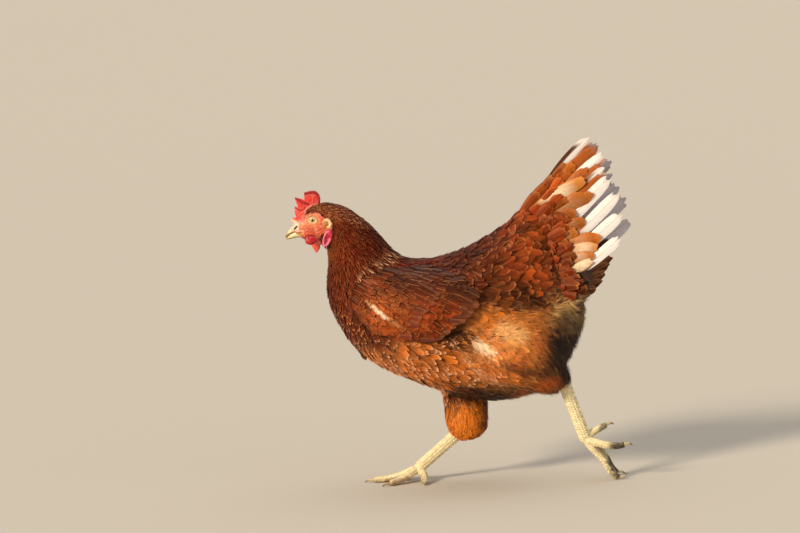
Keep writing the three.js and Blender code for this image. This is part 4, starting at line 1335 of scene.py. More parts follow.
def walk(roots, normals, lengths, steps, rng, wander, hug=1.0):
    """Lays the shafts on the form. Hug is 1 where a feather follows the form to its tip."""
    point, out = roots, normals
    shaft, outs = [point], [out]
    wobble = rng.normal(0, wander, len(roots))
    wobble = wobble + PATCH["lean"] * crinkle(roots, PATCH["size"], 6)
    for _ in range(steps):
        straight = point + way_on(point, out, wobble) * (lengths / steps)[:, None]
        place, normal = onto_form(straight)
        point = straight + hug * (place - straight)
        out = unit(out + normal)
        shaft.append(point)
        outs.append(out)
    return np.stack(shaft, 1), np.stack(outs, 1)


print("form area:", round(face_area.sum() / 1e4), "square cm")

# %% Coat of the neck, breast, back and thighs
COVERED_BY_WING = np.array([(-118, 250), (-100, 262), (-60, 266), (-22, 256), (-8, 232),
                            (-30, 205), (-80, 206), (-112, 222)], float)
COAT_STEPS = 5  # faces along a feather
CALM = 0.10  # radians that feathers stray where they lie neat
ACROSS = 0.42  # roots stand apart by this share of the half width
ROOT_SINK = 0.85  # share of the coat's depth that roots lie below the form
RIM = 0.70  # where along a feather its pale rim begins


def is_feathered(points):
    x, y, z = points.T
    under_wing = inside(COVERED_BY_WING, x, z) & (np.abs(y) > 25)
    return (bare_distance(x, z) > 0.6) & ~under_wing & (z < 372)


def is_neck(points):
    """The neck and cape have narrow hackles. They end on a line round the shoulders."""
    x, z = points[:, 0], points[:, 2]
    return (z > 246 + 0.33 * (x + 165)) & (x < -52) & (z > 240)


def is_back(points):
    """The back and the saddle have round feathers, the breast and the belly longer ones."""
    x, z = points[:, 0], points[:, 2]
    return z > 215 + 0.10 * (x + 60)


def clumped(points, colours, share=0.30):
    """Neighbouring feathers share light and dark patches a few centimetres wide."""
    patch = 0.6 * crinkle(points, 34.0, 3) + 0.4 * crinkle(points, 13.0, 4)
    return colours * (1 + share * patch.clip(-1.4, 1.4))[:, None]


def vary(colours, rng, much):
    """Gives each feather its own shade, a little lighter, darker or redder than its tract."""
    shade = 1 + much * rng.normal(0, 1, (len(colours), 1))
    warm = np.array([1.0, 0.85, 0.7]) * 0.35 * much * rng.normal(0, 1, (len(colours), 1))
    return np.clip(colours * (shade.clip(0.45, 1.5) + warm), 0.002, 1)


def dress(name, wanted, apart, shape, columns, seed, edge, shaft_strength, lift, patchy,
          material, much=0.18, wander=CALM):
    """Grows one tract of feathers over the form and makes it a piece. Their roots also stand
    apart by a share of the length."""
    rng = np.random.default_rng(seed)

    def spacing(points):
        guide = coat_at(points)
        return ACROSS * guide[:, 3] + apart * guide[:, 2]

    roots, normals = sow(wanted, spacing, rng)
    guide = coat_at(roots)
    count = len(roots)
    size = rng.uniform(0.85, 1.15, count)
    silky = 1 - 0.35 * ease(guide[:, 4], 0.25, 0.55)
    length, half = guide[:, 2] * size, guide[:, 3] * size * silky
    stray = CALM + (wander - CALM) * near(roots[:, 0], 60, 90)  # the tail's cover lies neat
    shaft, outs = walk(roots, normals, length, COAT_STEPS, rng, stray)
    s = np.linspace(0, 1, COAT_STEPS + 1)
    depth = coat_depth(roots)
    rise = rng.uniform(*lift, count)
    height = -ROOT_SINK * depth[:, None] * (1 - s) ** 1.6 + rise[:, None] * s
    shaft = shaft + outs * height[..., None]
    points = blades(shaft, outs, half, shape, columns, rng, roll=rng.normal(0, 0.16, (count, 1, 1)))
    base = vary(clumped(roots, guide[:, 5:8], patchy), rng, much)
    rim = ease(s, RIM, 1.0)[None, :, None, None]
    rim_colour, lacing, bold = edge(shaft[:, -1], rng)
    # darker towards the root: the feather's darker base, and painted shade where the feathers before
    # it lie over it
    dark_root = 0.26 + 0.74 * ease(s, 0.20, 0.85)
    colours = base[:, None, None] * dark_root[None, :, None, None]
    mix = rim * (bold * lacing)[:, None, None, None]
    colours = colours * (1 - mix) + rim_colour[:, None, None] * mix
    colours = marked(shifted(points, 1.8, rng), colours, BODY_MARKS)
    quill = np.column_stack([rng.random(count), np.full(count, shaft_strength)
                             * rng.uniform(0.0, 1.3, count), lacing])
    along, turn = body_map(roots)
    mesh = feather_mesh(name, points, colours, quill, on_map("body", along, turn))
    piece = new_piece(name, mesh, material)
    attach(piece, "root")
    print(name, count, "feathers,", 2 * len(mesh.polygons), "triangles")
    return piece


def blend_into(colours, other, share):
    """Mixes another colour in, by a share for each point."""
    return colours * (1 - share[..., None]) + other * share[..., None]


def golden_edge(tips, rng):
    """Hackles end in a golden point, palest on the crown, and boldest and cream where the
    cape's border lies on the shoulder. Returns colour, strength and how bold it is."""
    x, z = tips[:, 0], tips[:, 2]
    border = np.exp(-(((z - 266 - 0.62 * (x + 118)) / 10) ** 2)) * ease(x, -136, -120)
    border = border * near(x, -76, -60)
    crown = ease(z + 0.35 * x, 286, 294)
    strength = 0.24 + 0.76 * np.max([border, 1.1 * crown], axis=0)
    strength = strength * rng.beta(0.35, 1.0, len(tips)) * 2.2
    chosen = rng.random(len(tips)) < 0.42
    strength = strength * (1 - border) + border * chosen
    tip = blend_into(np.tile(linear("#C4622C"), (len(tips), 1)), linear("#EBC7A2"), crown)
    tip = blend_into(tip, linear("#FAD2A0"), border)
    return tip, strength.clip(0, 1), 0.25 + 0.7 * border


def pale_edge(tips, rng):
    """Breast and belly feathers have a peach edge, back feathers a rusty one, and dark or
    fluffy feathers hardly any."""
    x, z = tips[:, 0], tips[:, 2]
    low = ease(-z + 0.15 * x, -222, -150)
    front = ease(-x, 85, 130)
    colour = blend_into(np.tile(linear("#B4561E"), (len(tips), 1)), linear("#F0B080"), low)
    strength = (0.22 + 0.60 * np.maximum(low, 0.35 * front)) * rng.beta(0.8, 1.1, len(tips)) * 2
    guide = coat_at(tips)
    plain = (1 - 0.85 * ease(guide[:, 4], 0.15, 0.45)) * ease(guide[:, 5], 0.02, 0.10)
    strength = strength * plain * unmarked(tips, BODY_MARKS) ** 2
    return colour, strength.clip(0, 1), np.full(len(tips), 0.25)


neck = dress("neck_hackles", lambda p: is_feathered(p) & is_neck(p), 0.048, "hackle", 3, 11,
             golden_edge, 0.45, (0.0, 2.0), 0.45, hackle_feather)
back = dress("back_feathers", lambda p: is_feathered(p) & ~is_neck(p) & is_back(p), 0.085,
             "scale", 5, 12, pale_edge, 0.16, (0.2, 2.6), 0.50, coat_feather, 0.32, 0.20)
breast = dress("breast_feathers", lambda p: is_feathered(p) & ~is_neck(p) & ~is_back(p), 0.085,
               "pointed", 5, 13, pale_edge, 0.25, (0.2, 2.2), 0.40, breast_feather, 0.28)

# %% A loose feather under the breast
LOOSE = {"root": (-128.0, -3.0, 182.0), "tip": (-122.6, -5.0, 161.0), "half": 4.4}


def loose_feather():
    """One dark feather has turned out of the coat and hangs below the breast."""
    rng = np.random.default_rng(14)
    s = np.linspace(0, 1, 7)[:, None]
    shaft = (np.array(LOOSE["root"]) * (1 - s) + np.array(LOOSE["tip"]) * s)[None]
    outs = np.broadcast_to(unit(np.array([-0.2, -1.0, -0.1])), shaft.shape)
    points = blades(shaft, outs, np.array([LOOSE["half"]]), "scale", 5, rng, ragged=0.08)
    colours = np.broadcast_to(linear("#3A2415"), points.shape).copy()
    along, turn = body_map(shaft[:, 0])
    mesh = feather_mesh("loose_feather", points, colours, np.array([[0.4, 0.3, 0.2]]),
                        on_map("body", along, turn))
    piece = new_piece("loose_feather", mesh, coat_feather)
    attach(piece, "root")
    return piece


loose = loose_feather()
print("the loose feather hangs", round(LOOSE["root"][2] - LOOSE["tip"][2]), "mm down")

# %% [markdown]
# ## Wings and tail
#
# The wing is folded flat against the flank, and the tail stands up like a tent of two fans.
# Their feathers are large enough to be set one by one or in rows, as a taxidermist would
# check them: flight feathers first, then greater, median and lesser coverts, each row lying
# over the roots of the one before. They are placed in the side view, and a function says how
# far the surface stands out there, so that each feather bends over it.

# %% Feathers laid in the side view
FLANK_STEP = 4.0
flank_x = np.arange(-150, 60, FLANK_STEP)
flank_z = np.arange(150, 330, FLANK_STEP)
bare_body = joined([clay(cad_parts[node].data) for node in ("neck", "torso")])
body_surface = BVHTree.FromPolygons(bare_body[0].tolist(), bare_body[1])
flank_grid = np.array([[abs(flank_of(body_surface, x, z, RIGHT)) for z in flank_z]
                       for x in flank_x])
SIDE_VIEW = {"wings": ((-145, 185), (30, 290)), "tail": ((70, 230), (215, 435))}
WING = {"middle": 236.5, "reach": 45.2, "rim": 2.2, "bulge": 7.0}


def flank_at(x, z):
    """Half width of the body at side view points, read from a grid."""
    i = np.clip((x - flank_x[0]) / FLANK_STEP, 0, len(flank_x) - 1.001)
    k = np.clip((z - flank_z[0]) / FLANK_STEP, 0, len(flank_z) - 1.001)
    a, b = i.astype(int), k.astype(int)
    f, g = i - a, k - b
    return ((flank_grid[a, b] * (1 - f) + flank_grid[a + 1, b] * f) * (1 - g)
            + (flank_grid[a, b + 1] * (1 - f) + flank_grid[a + 1, b + 1] * f) * g)


def wing_face(x, z):
    across = np.clip((z - WING["middle"]) / WING["reach"], -1, 1)
    full = ease(x, -142, -98)
    return flank_at(x, z) + WING["rim"] * full + WING["bulge"] * full * np.sqrt(1 - across**2)


def laid(face, side, roots, turns, lengths, bows, heights, rows):
    """Shafts and ways out of feathers that lie on a face, from roots in the side view.
    Heights are how far root and tip stand off it."""
    s = np.linspace(0, 1, rows)
    way = np.stack([np.cos(turns), np.sin(turns)], -1)
    across = np.stack([-way[:, 1], way[:, 0]], -1)
    reach = lengths[:, None] * s
    bend = bows[:, None] * 4 * s * (1 - s)
    flat = roots[:, None] + way[:, None] * reach[..., None] + across[:, None] * bend[..., None]
    x, z = flat[..., 0], flat[..., 1]
    step = 2.0
    tilt_x = (face(x + step, z) - face(x - step, z)) / (2 * step)
    tilt_z = (face(x, z + step) - face(x, z - step)) / (2 * step)
    y = face(x, z) + heights[:, :1] + (heights[:, 1:] - heights[:, :1]) * s
    shaft = np.stack([x, side * y, z], -1)
    outs = unit(np.stack([-tilt_x, np.full_like(x, side), -tilt_z], -1))
    return shaft, outs


def vane_grid(points):
    """Places along and across the feathers of a tract, for their markings."""
    rows, columns = points.shape[1:3]
    return np.linspace(0, 1, rows)[None, :, None], np.linspace(-1, 1, columns)[None, None, :]


def colour_rows(base, points, root_dark):
    """One colour a feather, darker at its root for its base and as painted shade under the feathers
    over it, spread over its points.
    """
    s = np.linspace(0, 1, points.shape[1])
    shade = (root_dark + (1 - root_dark) * ease(s, 0.0, 0.5))[None, :, None, None]
    return np.broadcast_to(base[:, None, None] * shade, points.shape).copy()


def side_map(room, side, roots):
    """Places on the flat map for wings and tail: the left ones in its left half."""
    low, high = np.array(SIDE_VIEW[room], float)
    across, up = ((roots - low) / (high - low)).T
    half = 0.5 * np.clip(across, 0, 1) + (0.5 if side == RIGHT else 0.0)
    return on_map(room, half, up)


print("flank at the middle of the wing:", flank_at(np.array([-60.0]), np.array([236.0]))[0].round(1))

# %% Wing feathers
WING_LIE = [
    # x, z, angle, length, half width, colour
    (-136, 250, -30, 13, 3.4, "breast"),
    (-130, 236, -48, 14, 3.6, "shoulder"),
    (-118, 262, -22, 16, 4.0, "cape"),
    (-112, 244, -40, 17, 4.4, "wingorange"),
    (-112, 222, -46, 18, 4.6, "shoulder"),
    (-92, 266, -20, 22, 5.0, "wingdark"),
    (-104, 256, -24, 20, 4.8, "shoulder"),
    (-88, 242, -36, 22, 5.4, "shoulder"),
    (-92, 212, -34, 22, 5.2, "shoulder"),
    (-62, 272, -14, 26, 6.0, "wingdark"),
    (-60, 258, -20, 26, 6.0, "wingbrown"),
    (-58, 242, -32, 27, 6.2, "wingbrown"),
    (-60, 206, -24, 26, 5.8, "wingbrown"),
    (-30, 268, -12, 28, 6.6, "wingdark"),
    (0, 262, -14, 28, 6.6, "wingdark"),
    (-28, 236, -28, 30, 7.0, "wingbrown"),
]
COLOUR |= {"wingorange": "#A84812", "wingdark": "#2C110A", "wingbrown": "#6E280D", "flight": "#5E2A18",
           "quill_sheen_grey": "#84605A"}
WING_PATCH = np.array([(-140, 250), (-124, 270), (-94, 281), (-60, 280), (-28, 274), (-14, 258),
                       (-26, 236), (-52, 206), (-88, 202), (-120, 214), (-137, 232)], float)
WING_ROWS = [
    # count, first and last root, angles, lengths, half widths, bows, heights of root and tip
    (11, (-64, 268), (-86, 205), (-17, -5), (92, 66), (8.0, 6.0), (5, -5), (-1.2, 1.6), "flight"),
    (11, (-80, 272), (-106, 210), (-24, -12), (60, 42), (7.4, 5.8), (3, -3), (-0.6, 2.4), "wingbrown"),
]
WING_MARKS = [
    # a cream bar across the bend of the wing, as in BODY_MARKS
    ((-110, 236.5), (-93, 221.5), 1.0, 2.6, 0.90, "#F2E0C2", 0),
    ((-116, 242.5), (-108, 235), 0.4, 2.6, 0.50, "#D8A878", 0),
    ((-95, 223), (-78, 211), 0.8, 3.0, 0.50, "#C48A58", 0),
]


def spaced(points, gap, rng):
    """Picks points of a plane that keep their distance from one another."""
    kept = []
    for i in rng.permutation(len(points)):
        if all((points[i, 0] - points[j, 0]) ** 2 + (points[i, 1] - points[j, 1]) ** 2
               > gap[i] ** 2 for j in kept):
            kept.append(i)
    return np.array(kept)


def covert_roots(patch, tries, rows, apart, rng):
    """Roots spread over a patch of the side view, and what the guides say at each."""
    tries = rng.uniform(patch.min(0), patch.max(0), (tries, 2))
    tries = tries[inside(patch, *tries.T)]
    guide = guides_mean(*guides(rows), tries)
    kept = spaced(tries, 0.50 * guide[:, 3] + apart * guide[:, 2], rng)
    return tries[kept], guide[kept]


def wing_row(side, rng, spec):
    count, first, last, angles, lengths, halves, bows, heights, colour = spec
    t = np.linspace(0, 1, count)
    roots = np.array(first) * (1 - t)[:, None] + np.array(last) * t[:, None]
    roots = roots + rng.normal(0, 0.8, roots.shape)
    turns = np.radians(np.interp(t, [0, 1], angles)) + rng.normal(0, 0.02, count)
    length = np.interp(t, [0, 1], lengths) + 10 * t * (1 - t) * rng.uniform(0.7, 1.3, count)
    length = length * rng.uniform(0.92, 1.08, count)
    half = np.interp(t, [0, 1], halves)
    bow = np.interp(t, [0, 1], bows)
    lift = np.column_stack([np.full(count, heights[0]), heights[1] + 1.3 * (1 - t)])
    shaft, outs = laid(wing_face, side, roots, turns, length, bow, lift, 13)
    points = blades(shaft, outs, half, "quill", 7, rng, ragged=0.02, roll=-0.17 * side)
    base = vary(np.tile(linear(COLOUR[colour]), (count, 1)), rng, 0.16)
    base = base * (0.4 + 0.6 * ease(t, 0.05, 0.30))[:, None]  # the top ones are the darkest
    colours = colour_rows(base, points, 0.8)
    s, q = vane_grid(points)
    # painted sheen: a grey gloss along the middle of each flight feather, most on the lower ones
    gleam = np.broadcast_to(0.35 * ease(s, 0.3, 0.8) * (1 - np.abs(q)), points.shape[:3])
    share = (0.25 + 0.75 * t)[:, None, None]
    colours = blend_into(colours, linear(COLOUR["quill_sheen_grey"]), gleam * share)
    quill = np.column_stack([rng.random(count), np.full(count, 0.75),
                             rng.uniform(0.0, 0.3, count)])
    return points, colours, quill, side_map("wings", side, roots)


def wing_coverts(side, rng):
    roots, guide = covert_roots(WING_PATCH, 9000, WING_LIE, 0.07, rng)
    count = len(roots)
    turns = np.arctan2(guide[:, 1], guide[:, 0]) + rng.normal(0, 0.10, count)
    length = guide[:, 2] * rng.uniform(0.85, 1.15, count)
    low = np.full(count, -0.5) + rng.uniform(-0.2, 0.2, count)
    lift = np.column_stack([low, 2.6 + rng.uniform(-0.4, 0.8, count)])
    edge = ease(np.abs(roots[:, 1] - WING["middle"]), 20, 38)
    lift[:, 1] -= 1.2 * edge
    shaft, outs = laid(wing_face, side, roots, turns, length, rng.normal(0, 0.6, count), lift, 11)
    points = blades(shaft, outs, guide[:, 3], "covert", 7, rng, roll=-0.10 * side)
    base = vary(clumped(shaft[:, 0], guide[:, 4:7], 0.42), rng, 0.27)
    colours = colour_rows(base, points, 0.4)
    colours = marked(shifted(points, 0.8, rng), colours, WING_MARKS)
    quill = np.column_stack([rng.random(count), rng.uniform(0.0, 1.7, count),
                             0.45 * rng.beta(0.6, 1.3, count)])
    return points, colours, quill, side_map("wings", side, roots)


def mesh_of(name, parts):
    """One mesh from tracts whose feathers have different numbers of rows and columns."""
    meshes = [feather_mesh(name, *part) for part in parts]
    pieces = [bpy.data.objects.new(name, mesh) for mesh in meshes]
    for piece in pieces:
        bpy.context.scene.collection.objects.link(piece)
    with bpy.context.temp_override(active_object=pieces[0], selected_editable_objects=pieces,
                                   object=pieces[0], selected_objects=pieces):
        bpy.ops.object.join()
    mesh = pieces[0].data
    bpy.data.objects.remove(pieces[0])
    return mesh


flight_feather = feather_keratin("wing_feather_keratin", gloss=0.36, shaft_colour="#C98A50",
                                 shaft_width=0.024, lace_colour="#B8703C")
for name, side in SIDES.items():
    rng = np.random.default_rng(31 + side)
    parts = [wing_row(side, rng, spec) for spec in WING_ROWS] + [wing_coverts(side, rng)]
    wing = new_piece(f"wing_feathers_{name}", mesh_of(f"wing_feathers_{name}", parts),
                     flight_feather)
    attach(wing, "root")
    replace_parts(wing, f"wing_{name}")
    print(wing.name, sum(len(part[0]) for part in parts), "feathers")

# %% Tail feathers
TAIL_QUILLS = {
    # root, tip, half width, bow, where the white begins (2 is nowhere), rusty lower edge,
    # dark upper edge
    LEFT: [
        ((88, 320), (169, 424), 8.0, 7.5, 0.50, 1.1, 1.0),
        ((91, 317), (177, 414), 7.5, 6.0, 2.00, 0.0, 0.0),
        ((94, 314), (187, 404), 8.5, 4.5, 0.62, 0.9, 0.0),
        ((97, 309), (182, 392), 6.0, 3.5, 2.00, 0.0, 0.0),
        ((99, 305), (186, 387), 7.0, 3.0, 0.80, 1.2, 0.6),
        ((101, 296), (185, 380), 6.5, 2.5, 2.00, 0.0, 0.0),
        ((103, 284), (191, 376), 8.4, 1.5, 0.48, 0.0, 0.0),
        ((111, 274), (200, 355), 8.2, -1.0, 0.46, 0.0, 0.0),
        ((118, 256), (203, 330), 8.4, 1.5, 0.50, 0.0, 0.0),
        ((123, 247), (200, 302), 7.0, -2.0, 0.44, 0.0, 0.0),
    ],
    RIGHT: [
        ((90, 318), (178, 416), 8.0, 2.5, 0.50, 0.8, 0.8),
        ((94, 314), (195, 393), 9.5, 4.0, 0.55, 0.5, 0.3),
        ((99, 300), (196, 374), 9.0, 3.0, 0.60, 0.6, 0.3),
        ((107, 280), (202, 360), 9.0, 1.5, 0.48, 0.0, 0.0),
        ((111, 270), (212, 345), 10.0, -1.0, 0.46, 0.0, 0.0),
        ((118, 254), (215, 315), 10.5, -1.5, 0.50, 0.0, 0.0),
        ((123, 247), (200, 296), 8.0, -2.0, 0.44, 0.0, 0.0),
    ],
}
UNDER_QUILLS = [
    # the dark feathers under the tail: root, tip, half width, bow
    ((112, 258), (191, 291), 8.0, -2.0),
    ((120, 250), (190, 281), 8.0, -3.0),
    ((121, 246), (186, 272), 7.5, -3.0),
    ((118, 242), (181, 261), 7.5, -3.0),
    ((120, 238), (176, 251), 7.0, -2.0),
    ((116, 238), (169, 242), 7.0, -2.0),
    ((112, 236), (160, 235), 6.5, -1.0),
    ((108, 234), (151, 229), 6.5, -1.0),
]
TAIL_COVERTS = [
    # root, tip, half width, bow, colour, share of cream, and where it begins and ends; one
    # lies over its neighbours
    ((74, 318), (104, 362), 7.0, 2.0, "#7E3410", 0.00, 0.5, 0.9),
    ((80, 316), (113, 371), 7.5, 3.0, "#8A3C12", 0.00, 0.5, 0.9),
    ((86, 318), (124, 381), 7.0, 3.0, "#7A3410", 0.00, 0.5, 0.9),
    ((92, 321), (138, 395), 6.0, 3.0, "#7A3610", 0.00, 0.5, 0.9),
    ((98, 330), (150, 396), 8.5, 3.0, "#B25E1A", 0.20, 0.5, 0.7),
    ((96, 320), (143, 386), 8.0, 3.0, "#A24E14", 0.10, 0.5, 0.7),
    ((98, 318), (166, 388), 9.5, 3.0, "#A8541A", 0.15, 0.6, 0.8),
    ((86, 330), (163, 376), 8.5, 3.0, "#C27A34", 1.30, 0.36, 0.72, "over"),
    ((102, 308), (170, 358), 10.0, 3.0, "#94521E", 0.10, 0.5, 0.8),
    ((102, 312), (158, 358), 9.5, 3.0, "#A2581C", 0.20, 0.5, 0.8),
    ((94, 322), (126, 362), 8.0, 2.0, "#93460F", 0.00, 0.5, 0.8),
    ((98, 312), (140, 352), 9.5, 4.0, "#7E3A0E", 0.00, 0.5, 0.8),
    ((102, 302), (150, 336), 10.0, 4.0, "#8A4412", 0.00, 0.5, 0.8),
    ((108, 294), (160, 326), 9.5, 3.0, "#95501A", 0.10, 0.5, 0.8),
    ((120, 284), (177, 304), 10.0, 4.0, "#B05E1C", 0.20, 0.4, 0.7),
    ((104, 294), (149, 312), 11.5, 3.0, "#AC5A18", 0.15, 0.6, 0.8),
    ((114, 278), (173, 293), 9.0, 3.0, "#BC7230", 0.80, 0.5, 0.85),
    ((100, 288), (138, 300), 9.5, 2.0, "#7C380E", 0.00, 0.5, 0.8),
    ((117, 270), (168, 282), 8.5, 2.0, "#AC5E1C", 0.45, 0.5, 0.8),
    ((122, 254), (165, 277), 6.0, 0.0, "#C89058", 1.00, 0.4, 1.2),
    ((104, 264), (146, 284), 9.5, 2.0, "#70320C", 0.00, 0.5, 0.8),
    ((104, 250), (138, 266), 9.0, 1.0, "#5A260C", 0.00, 0.5, 0.8),
    ((104, 240), (132, 250), 8.0, 0.0, "#4A200C", 0.00, 0.5, 0.8),
]
TAIL_LIE = [
    # x, z, angle, length, half width, colour
    (84, 336, 50, 26, 5.0, "saddle"),
    (97, 352, 54, 26, 5.0, "rump"),
    (116, 372, 54, 26, 5.0, "cushion"),
    (92, 312, 42, 30, 6.4, "saddle"),
    (112, 332, 46, 30, 6.8, "rump"),
    (104, 284, 28, 30, 6.8, "saddle"),
    (122, 304, 34, 30, 7.4, "rump"),
    (112, 256, 8, 28, 6.8, "saddle"),
    (128, 270, 14, 28, 7.4, "back"),
    (128, 242, 0, 26, 6.0, "back"),
]
TAIL_PATCH = np.array([(86, 324), (104, 346), (116, 364), (118, 350), (112, 330), (114, 306),
                       (116, 284), (122, 262), (128, 240), (110, 236), (98, 262), (88, 296)],
                      float)


def quills(side, rng, rows, heights, shape, columns, count_rows):
    """Long feathers of the tail from their roots and tips."""
    count = len(rows)
    roots = np.array([row[0] for row in rows], float)
    tips = np.array([row[1] for row in rows], float)
    run = tips - roots
    turns, length = np.arctan2(run[:, 1], run[:, 0]), np.hypot(*run.T)
    half = np.array([row[2] for row in rows], float)
    t = np.linspace(0, 1, count)
    lift = np.column_stack([heights[0] - 0.8 * t, heights[1] - 0.8 * t])
    lift += np.array([(2.4, 3.0) if row[-1] == "over" else (0.0, 0.0) for row in rows])
    bow = np.array([row[3] for row in rows], float)
    shaft, outs = laid(tent_face, side, roots, turns, length, bow, lift, count_rows)
    points = blades(shaft, outs, half, shape, columns, rng, ragged=0.03, roll=0.15 * side)
    return roots, points


def tail_whites(side, rng):
    rows = TAIL_QUILLS[side]
    roots, points = quills(side, rng, rows, (-2.5, 2.0), "vane", 9, 17)
    count = len(roots)
    colours = colour_rows(vary(np.tile(linear("#A3531D"), (count, 1)), rng, 0.08), points, 0.7)
    start, rust, dark = (np.array([row[k] for row in rows])[:, None, None] for k in (4, 5, 6))
    s, q = vane_grid(points)
    cloud = 0.05 * rng.normal(0, 1, (count, 1, q.size))
    white = ease(s, start - 0.06 + cloud, start + 0.07 + cloud) * np.ones_like(q)
    # the far side's whites are greyer: painted shade
    white_colour = linear("#EEE8E2") if side == LEFT else linear("#D0CCD4")
    colours = blend_into(colours, white_colour, white)
    lower = ease(-side * q * np.ones_like(s), 0.0, 0.5)
    upper = ease(side * q * np.ones_like(s), 0.15, 0.5) * near(s, 0.86, 0.97)
    patchy = rng.uniform(0.4, 1.0, points.shape[:3])
    colours = blend_into(colours, linear("#A8561E"), (rust * lower * patchy).clip(0, 1))
    colours = blend_into(colours, linear("#3E1E10"), (dark * upper).clip(0, 1))
    frayed = np.broadcast_to(0.30 * ease(s, 0.95, 1.0), points.shape[:3])
    colours = blend_into(colours, linear("#9A9088"), frayed)
    quill = np.column_stack([rng.random(count), np.full(count, 0.9), np.zeros(count)])
    return points, colours, quill, side_map("tail", side, roots)


def tail_under(side, rng):
    roots, points = quills(side, rng, UNDER_QUILLS, (-6.0, -2.0), "quill", 7, 11)
    count = len(roots)
    colours = colour_rows(vary(np.tile(linear("#26130B"), (count, 1)), rng, 0.30), points, 0.5)
    quill = np.column_stack([rng.random(count), np.full(count, 0.2), np.full(count, 0.08)])
    return points, colours, quill, side_map("tail", side, roots)


def tail_long_coverts(side, rng):
    roots, points = quills(side, rng, TAIL_COVERTS, (-2.0, 3.6), "covert", 7, 9)
    count = len(roots)
    base = np.array([linear(row[4]) for row in TAIL_COVERTS])
    colours = colour_rows(vary(base, rng, 0.06), points, 0.45)
    cream, start, end = (np.array([row[k] for row in TAIL_COVERTS])[:, None, None]
                         for k in (5, 6, 7))
    s, q = vane_grid(points)
    patch = ease(s, start - 0.12, start + 0.08) * (1 - ease(s, end - 0.08, end + 0.12))
    patch = patch * (1 - 0.5 * q**2) * rng.uniform(0.6, 1.1, points.shape[:3])
    colours = blend_into(colours, linear("#F2DDBC"), (cream * patch).clip(0, 1))
    quill = np.column_stack([rng.random(count), np.full(count, 0.15),
                             rng.uniform(0.0, 0.35, count)])
    return points, colours, quill, side_map("tail", side, roots)


def tail_short_coverts(side, rng):
    roots, guide = covert_roots(TAIL_PATCH, 7000, TAIL_LIE, 0.09, rng)
    count = len(roots)
    turns = np.arctan2(guide[:, 1], guide[:, 0]) + rng.normal(0, 0.20, count)
    length = guide[:, 2] * rng.uniform(0.75, 1.25, count)
    lift = np.column_stack([rng.uniform(-0.5, 0.5, count), rng.uniform(2.4, 6.4, count)])
    shaft, outs = laid(tent_face, side, roots, turns, length, rng.normal(0, 1, count), lift, 7)
    points = blades(shaft, outs, 1.2 * guide[:, 3], "covert", 7, rng, ragged=0.06,
                    roll=rng.normal(0.1 * side, 0.12, (count, 1, 1)))
    tones = clumped(shaft[:, 0], guide[:, 4:7], 0.45)
    colours = colour_rows(vary(tones, rng, 0.28), points, 0.35)
    quill = np.column_stack([rng.random(count), rng.uniform(0.0, 0.25, count),
                             0.6 * rng.beta(0.5, 1.5, count)])
    return points, colours, quill, side_map("tail", side, roots)


tail_feather = feather_keratin("tail_covert_keratin", gloss=0.45, lace_colour="#D88A48",
                               contrast=0.4, root_shade=0.4)
white_feather = feather_keratin("white_feather_keratin", gloss=0.5, root_shade=0.0,
                                shaft_colour="#8C8078", shaft_width=0.022, contrast=0.16)
tail_pieces = []
for name, side in SIDES.items():
    rng = np.random.default_rng(53 + side)
    whites = feather_mesh(f"tail_quills_{name}", *tail_whites(side, rng))
    tail_pieces.append(new_piece(f"tail_quills_{name}", whites, white_feather))
    covers = mesh_of(f"tail_coverts_{name}", [tail_under(side, rng), tail_long_coverts(side, rng),
                                              tail_short_coverts(side, rng)])
    tail_pieces.append(new_piece(f"tail_coverts_{name}", covers, tail_feather))
for piece in tail_pieces:
    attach(piece, "root")
    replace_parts(piece, "tail")
    print(piece.name, 2 * len(piece.data.polygons), "triangles")

# %% [markdown]
# ## Down, plumes and bristles
#
# Between the stiff feathers stand soft ones whose barbs don't hook together: the long fluff
# of the thighs, the grey-brown down under the tail, and short bristles on the brow, in the
# ear and under the cheek. Each tuft is a narrow blade that ends in separate points. It is
# solid mesh like the other feathers, and so thin that only its tip catches the light.

# %% Tufts
TUFT_POINTS = 3  # separate points at a tuft's end
TUFT_WANDER = 0.25  # radians that they stray from the guides
TUFT_HUG = 0.7  # how closely they follow the form


def tuft_mesh(name, shaft, outs, half, colours, rng, bake):
    """Tufts whose points part towards the tip: one narrow strip for each point."""
    count, rows = shaft.shape[:2]
    s = np.linspace(0, 1, rows)
    along = unit(np.gradient(shaft, axis=1))
    across = unit(np.cross(along, outs))
    strips, paints = [], []
    for k in range(TUFT_POINTS):
        lean = (k - (TUFT_POINTS - 1) / 2) + rng.uniform(-0.4, 0.4, count)
        reach = rng.uniform(0.75, 1.0, count)
        base = shaft[:, :1] + (shaft - shaft[:, :1]) * reach[:, None, None]
        part = half[:, None] * lean[:, None] * (0.15 + 1.1 * s**1.3)
        lift = half[:, None] * rng.uniform(-0.6, 0.6, (count, 1)) * s
        middle = base + across * part[..., None] + outs * lift[..., None]
        wide = 0.34 * half[:, None] * (1 - 0.9 * s**2)
        edge = across * wide[..., None]
        strips.append(np.stack([middle - edge, middle + edge], 2))
        paints.append(np.repeat(colours[:, :, None], 2, axis=2))
    points, tints = np.concatenate(strips), np.concatenate(paints)
    quill = np.column_stack([rng.random(len(points)), np.zeros((len(points), 2))])
    return feather_mesh(name, points, tints, quill, np.tile(bake, (TUFT_POINTS, 1)))


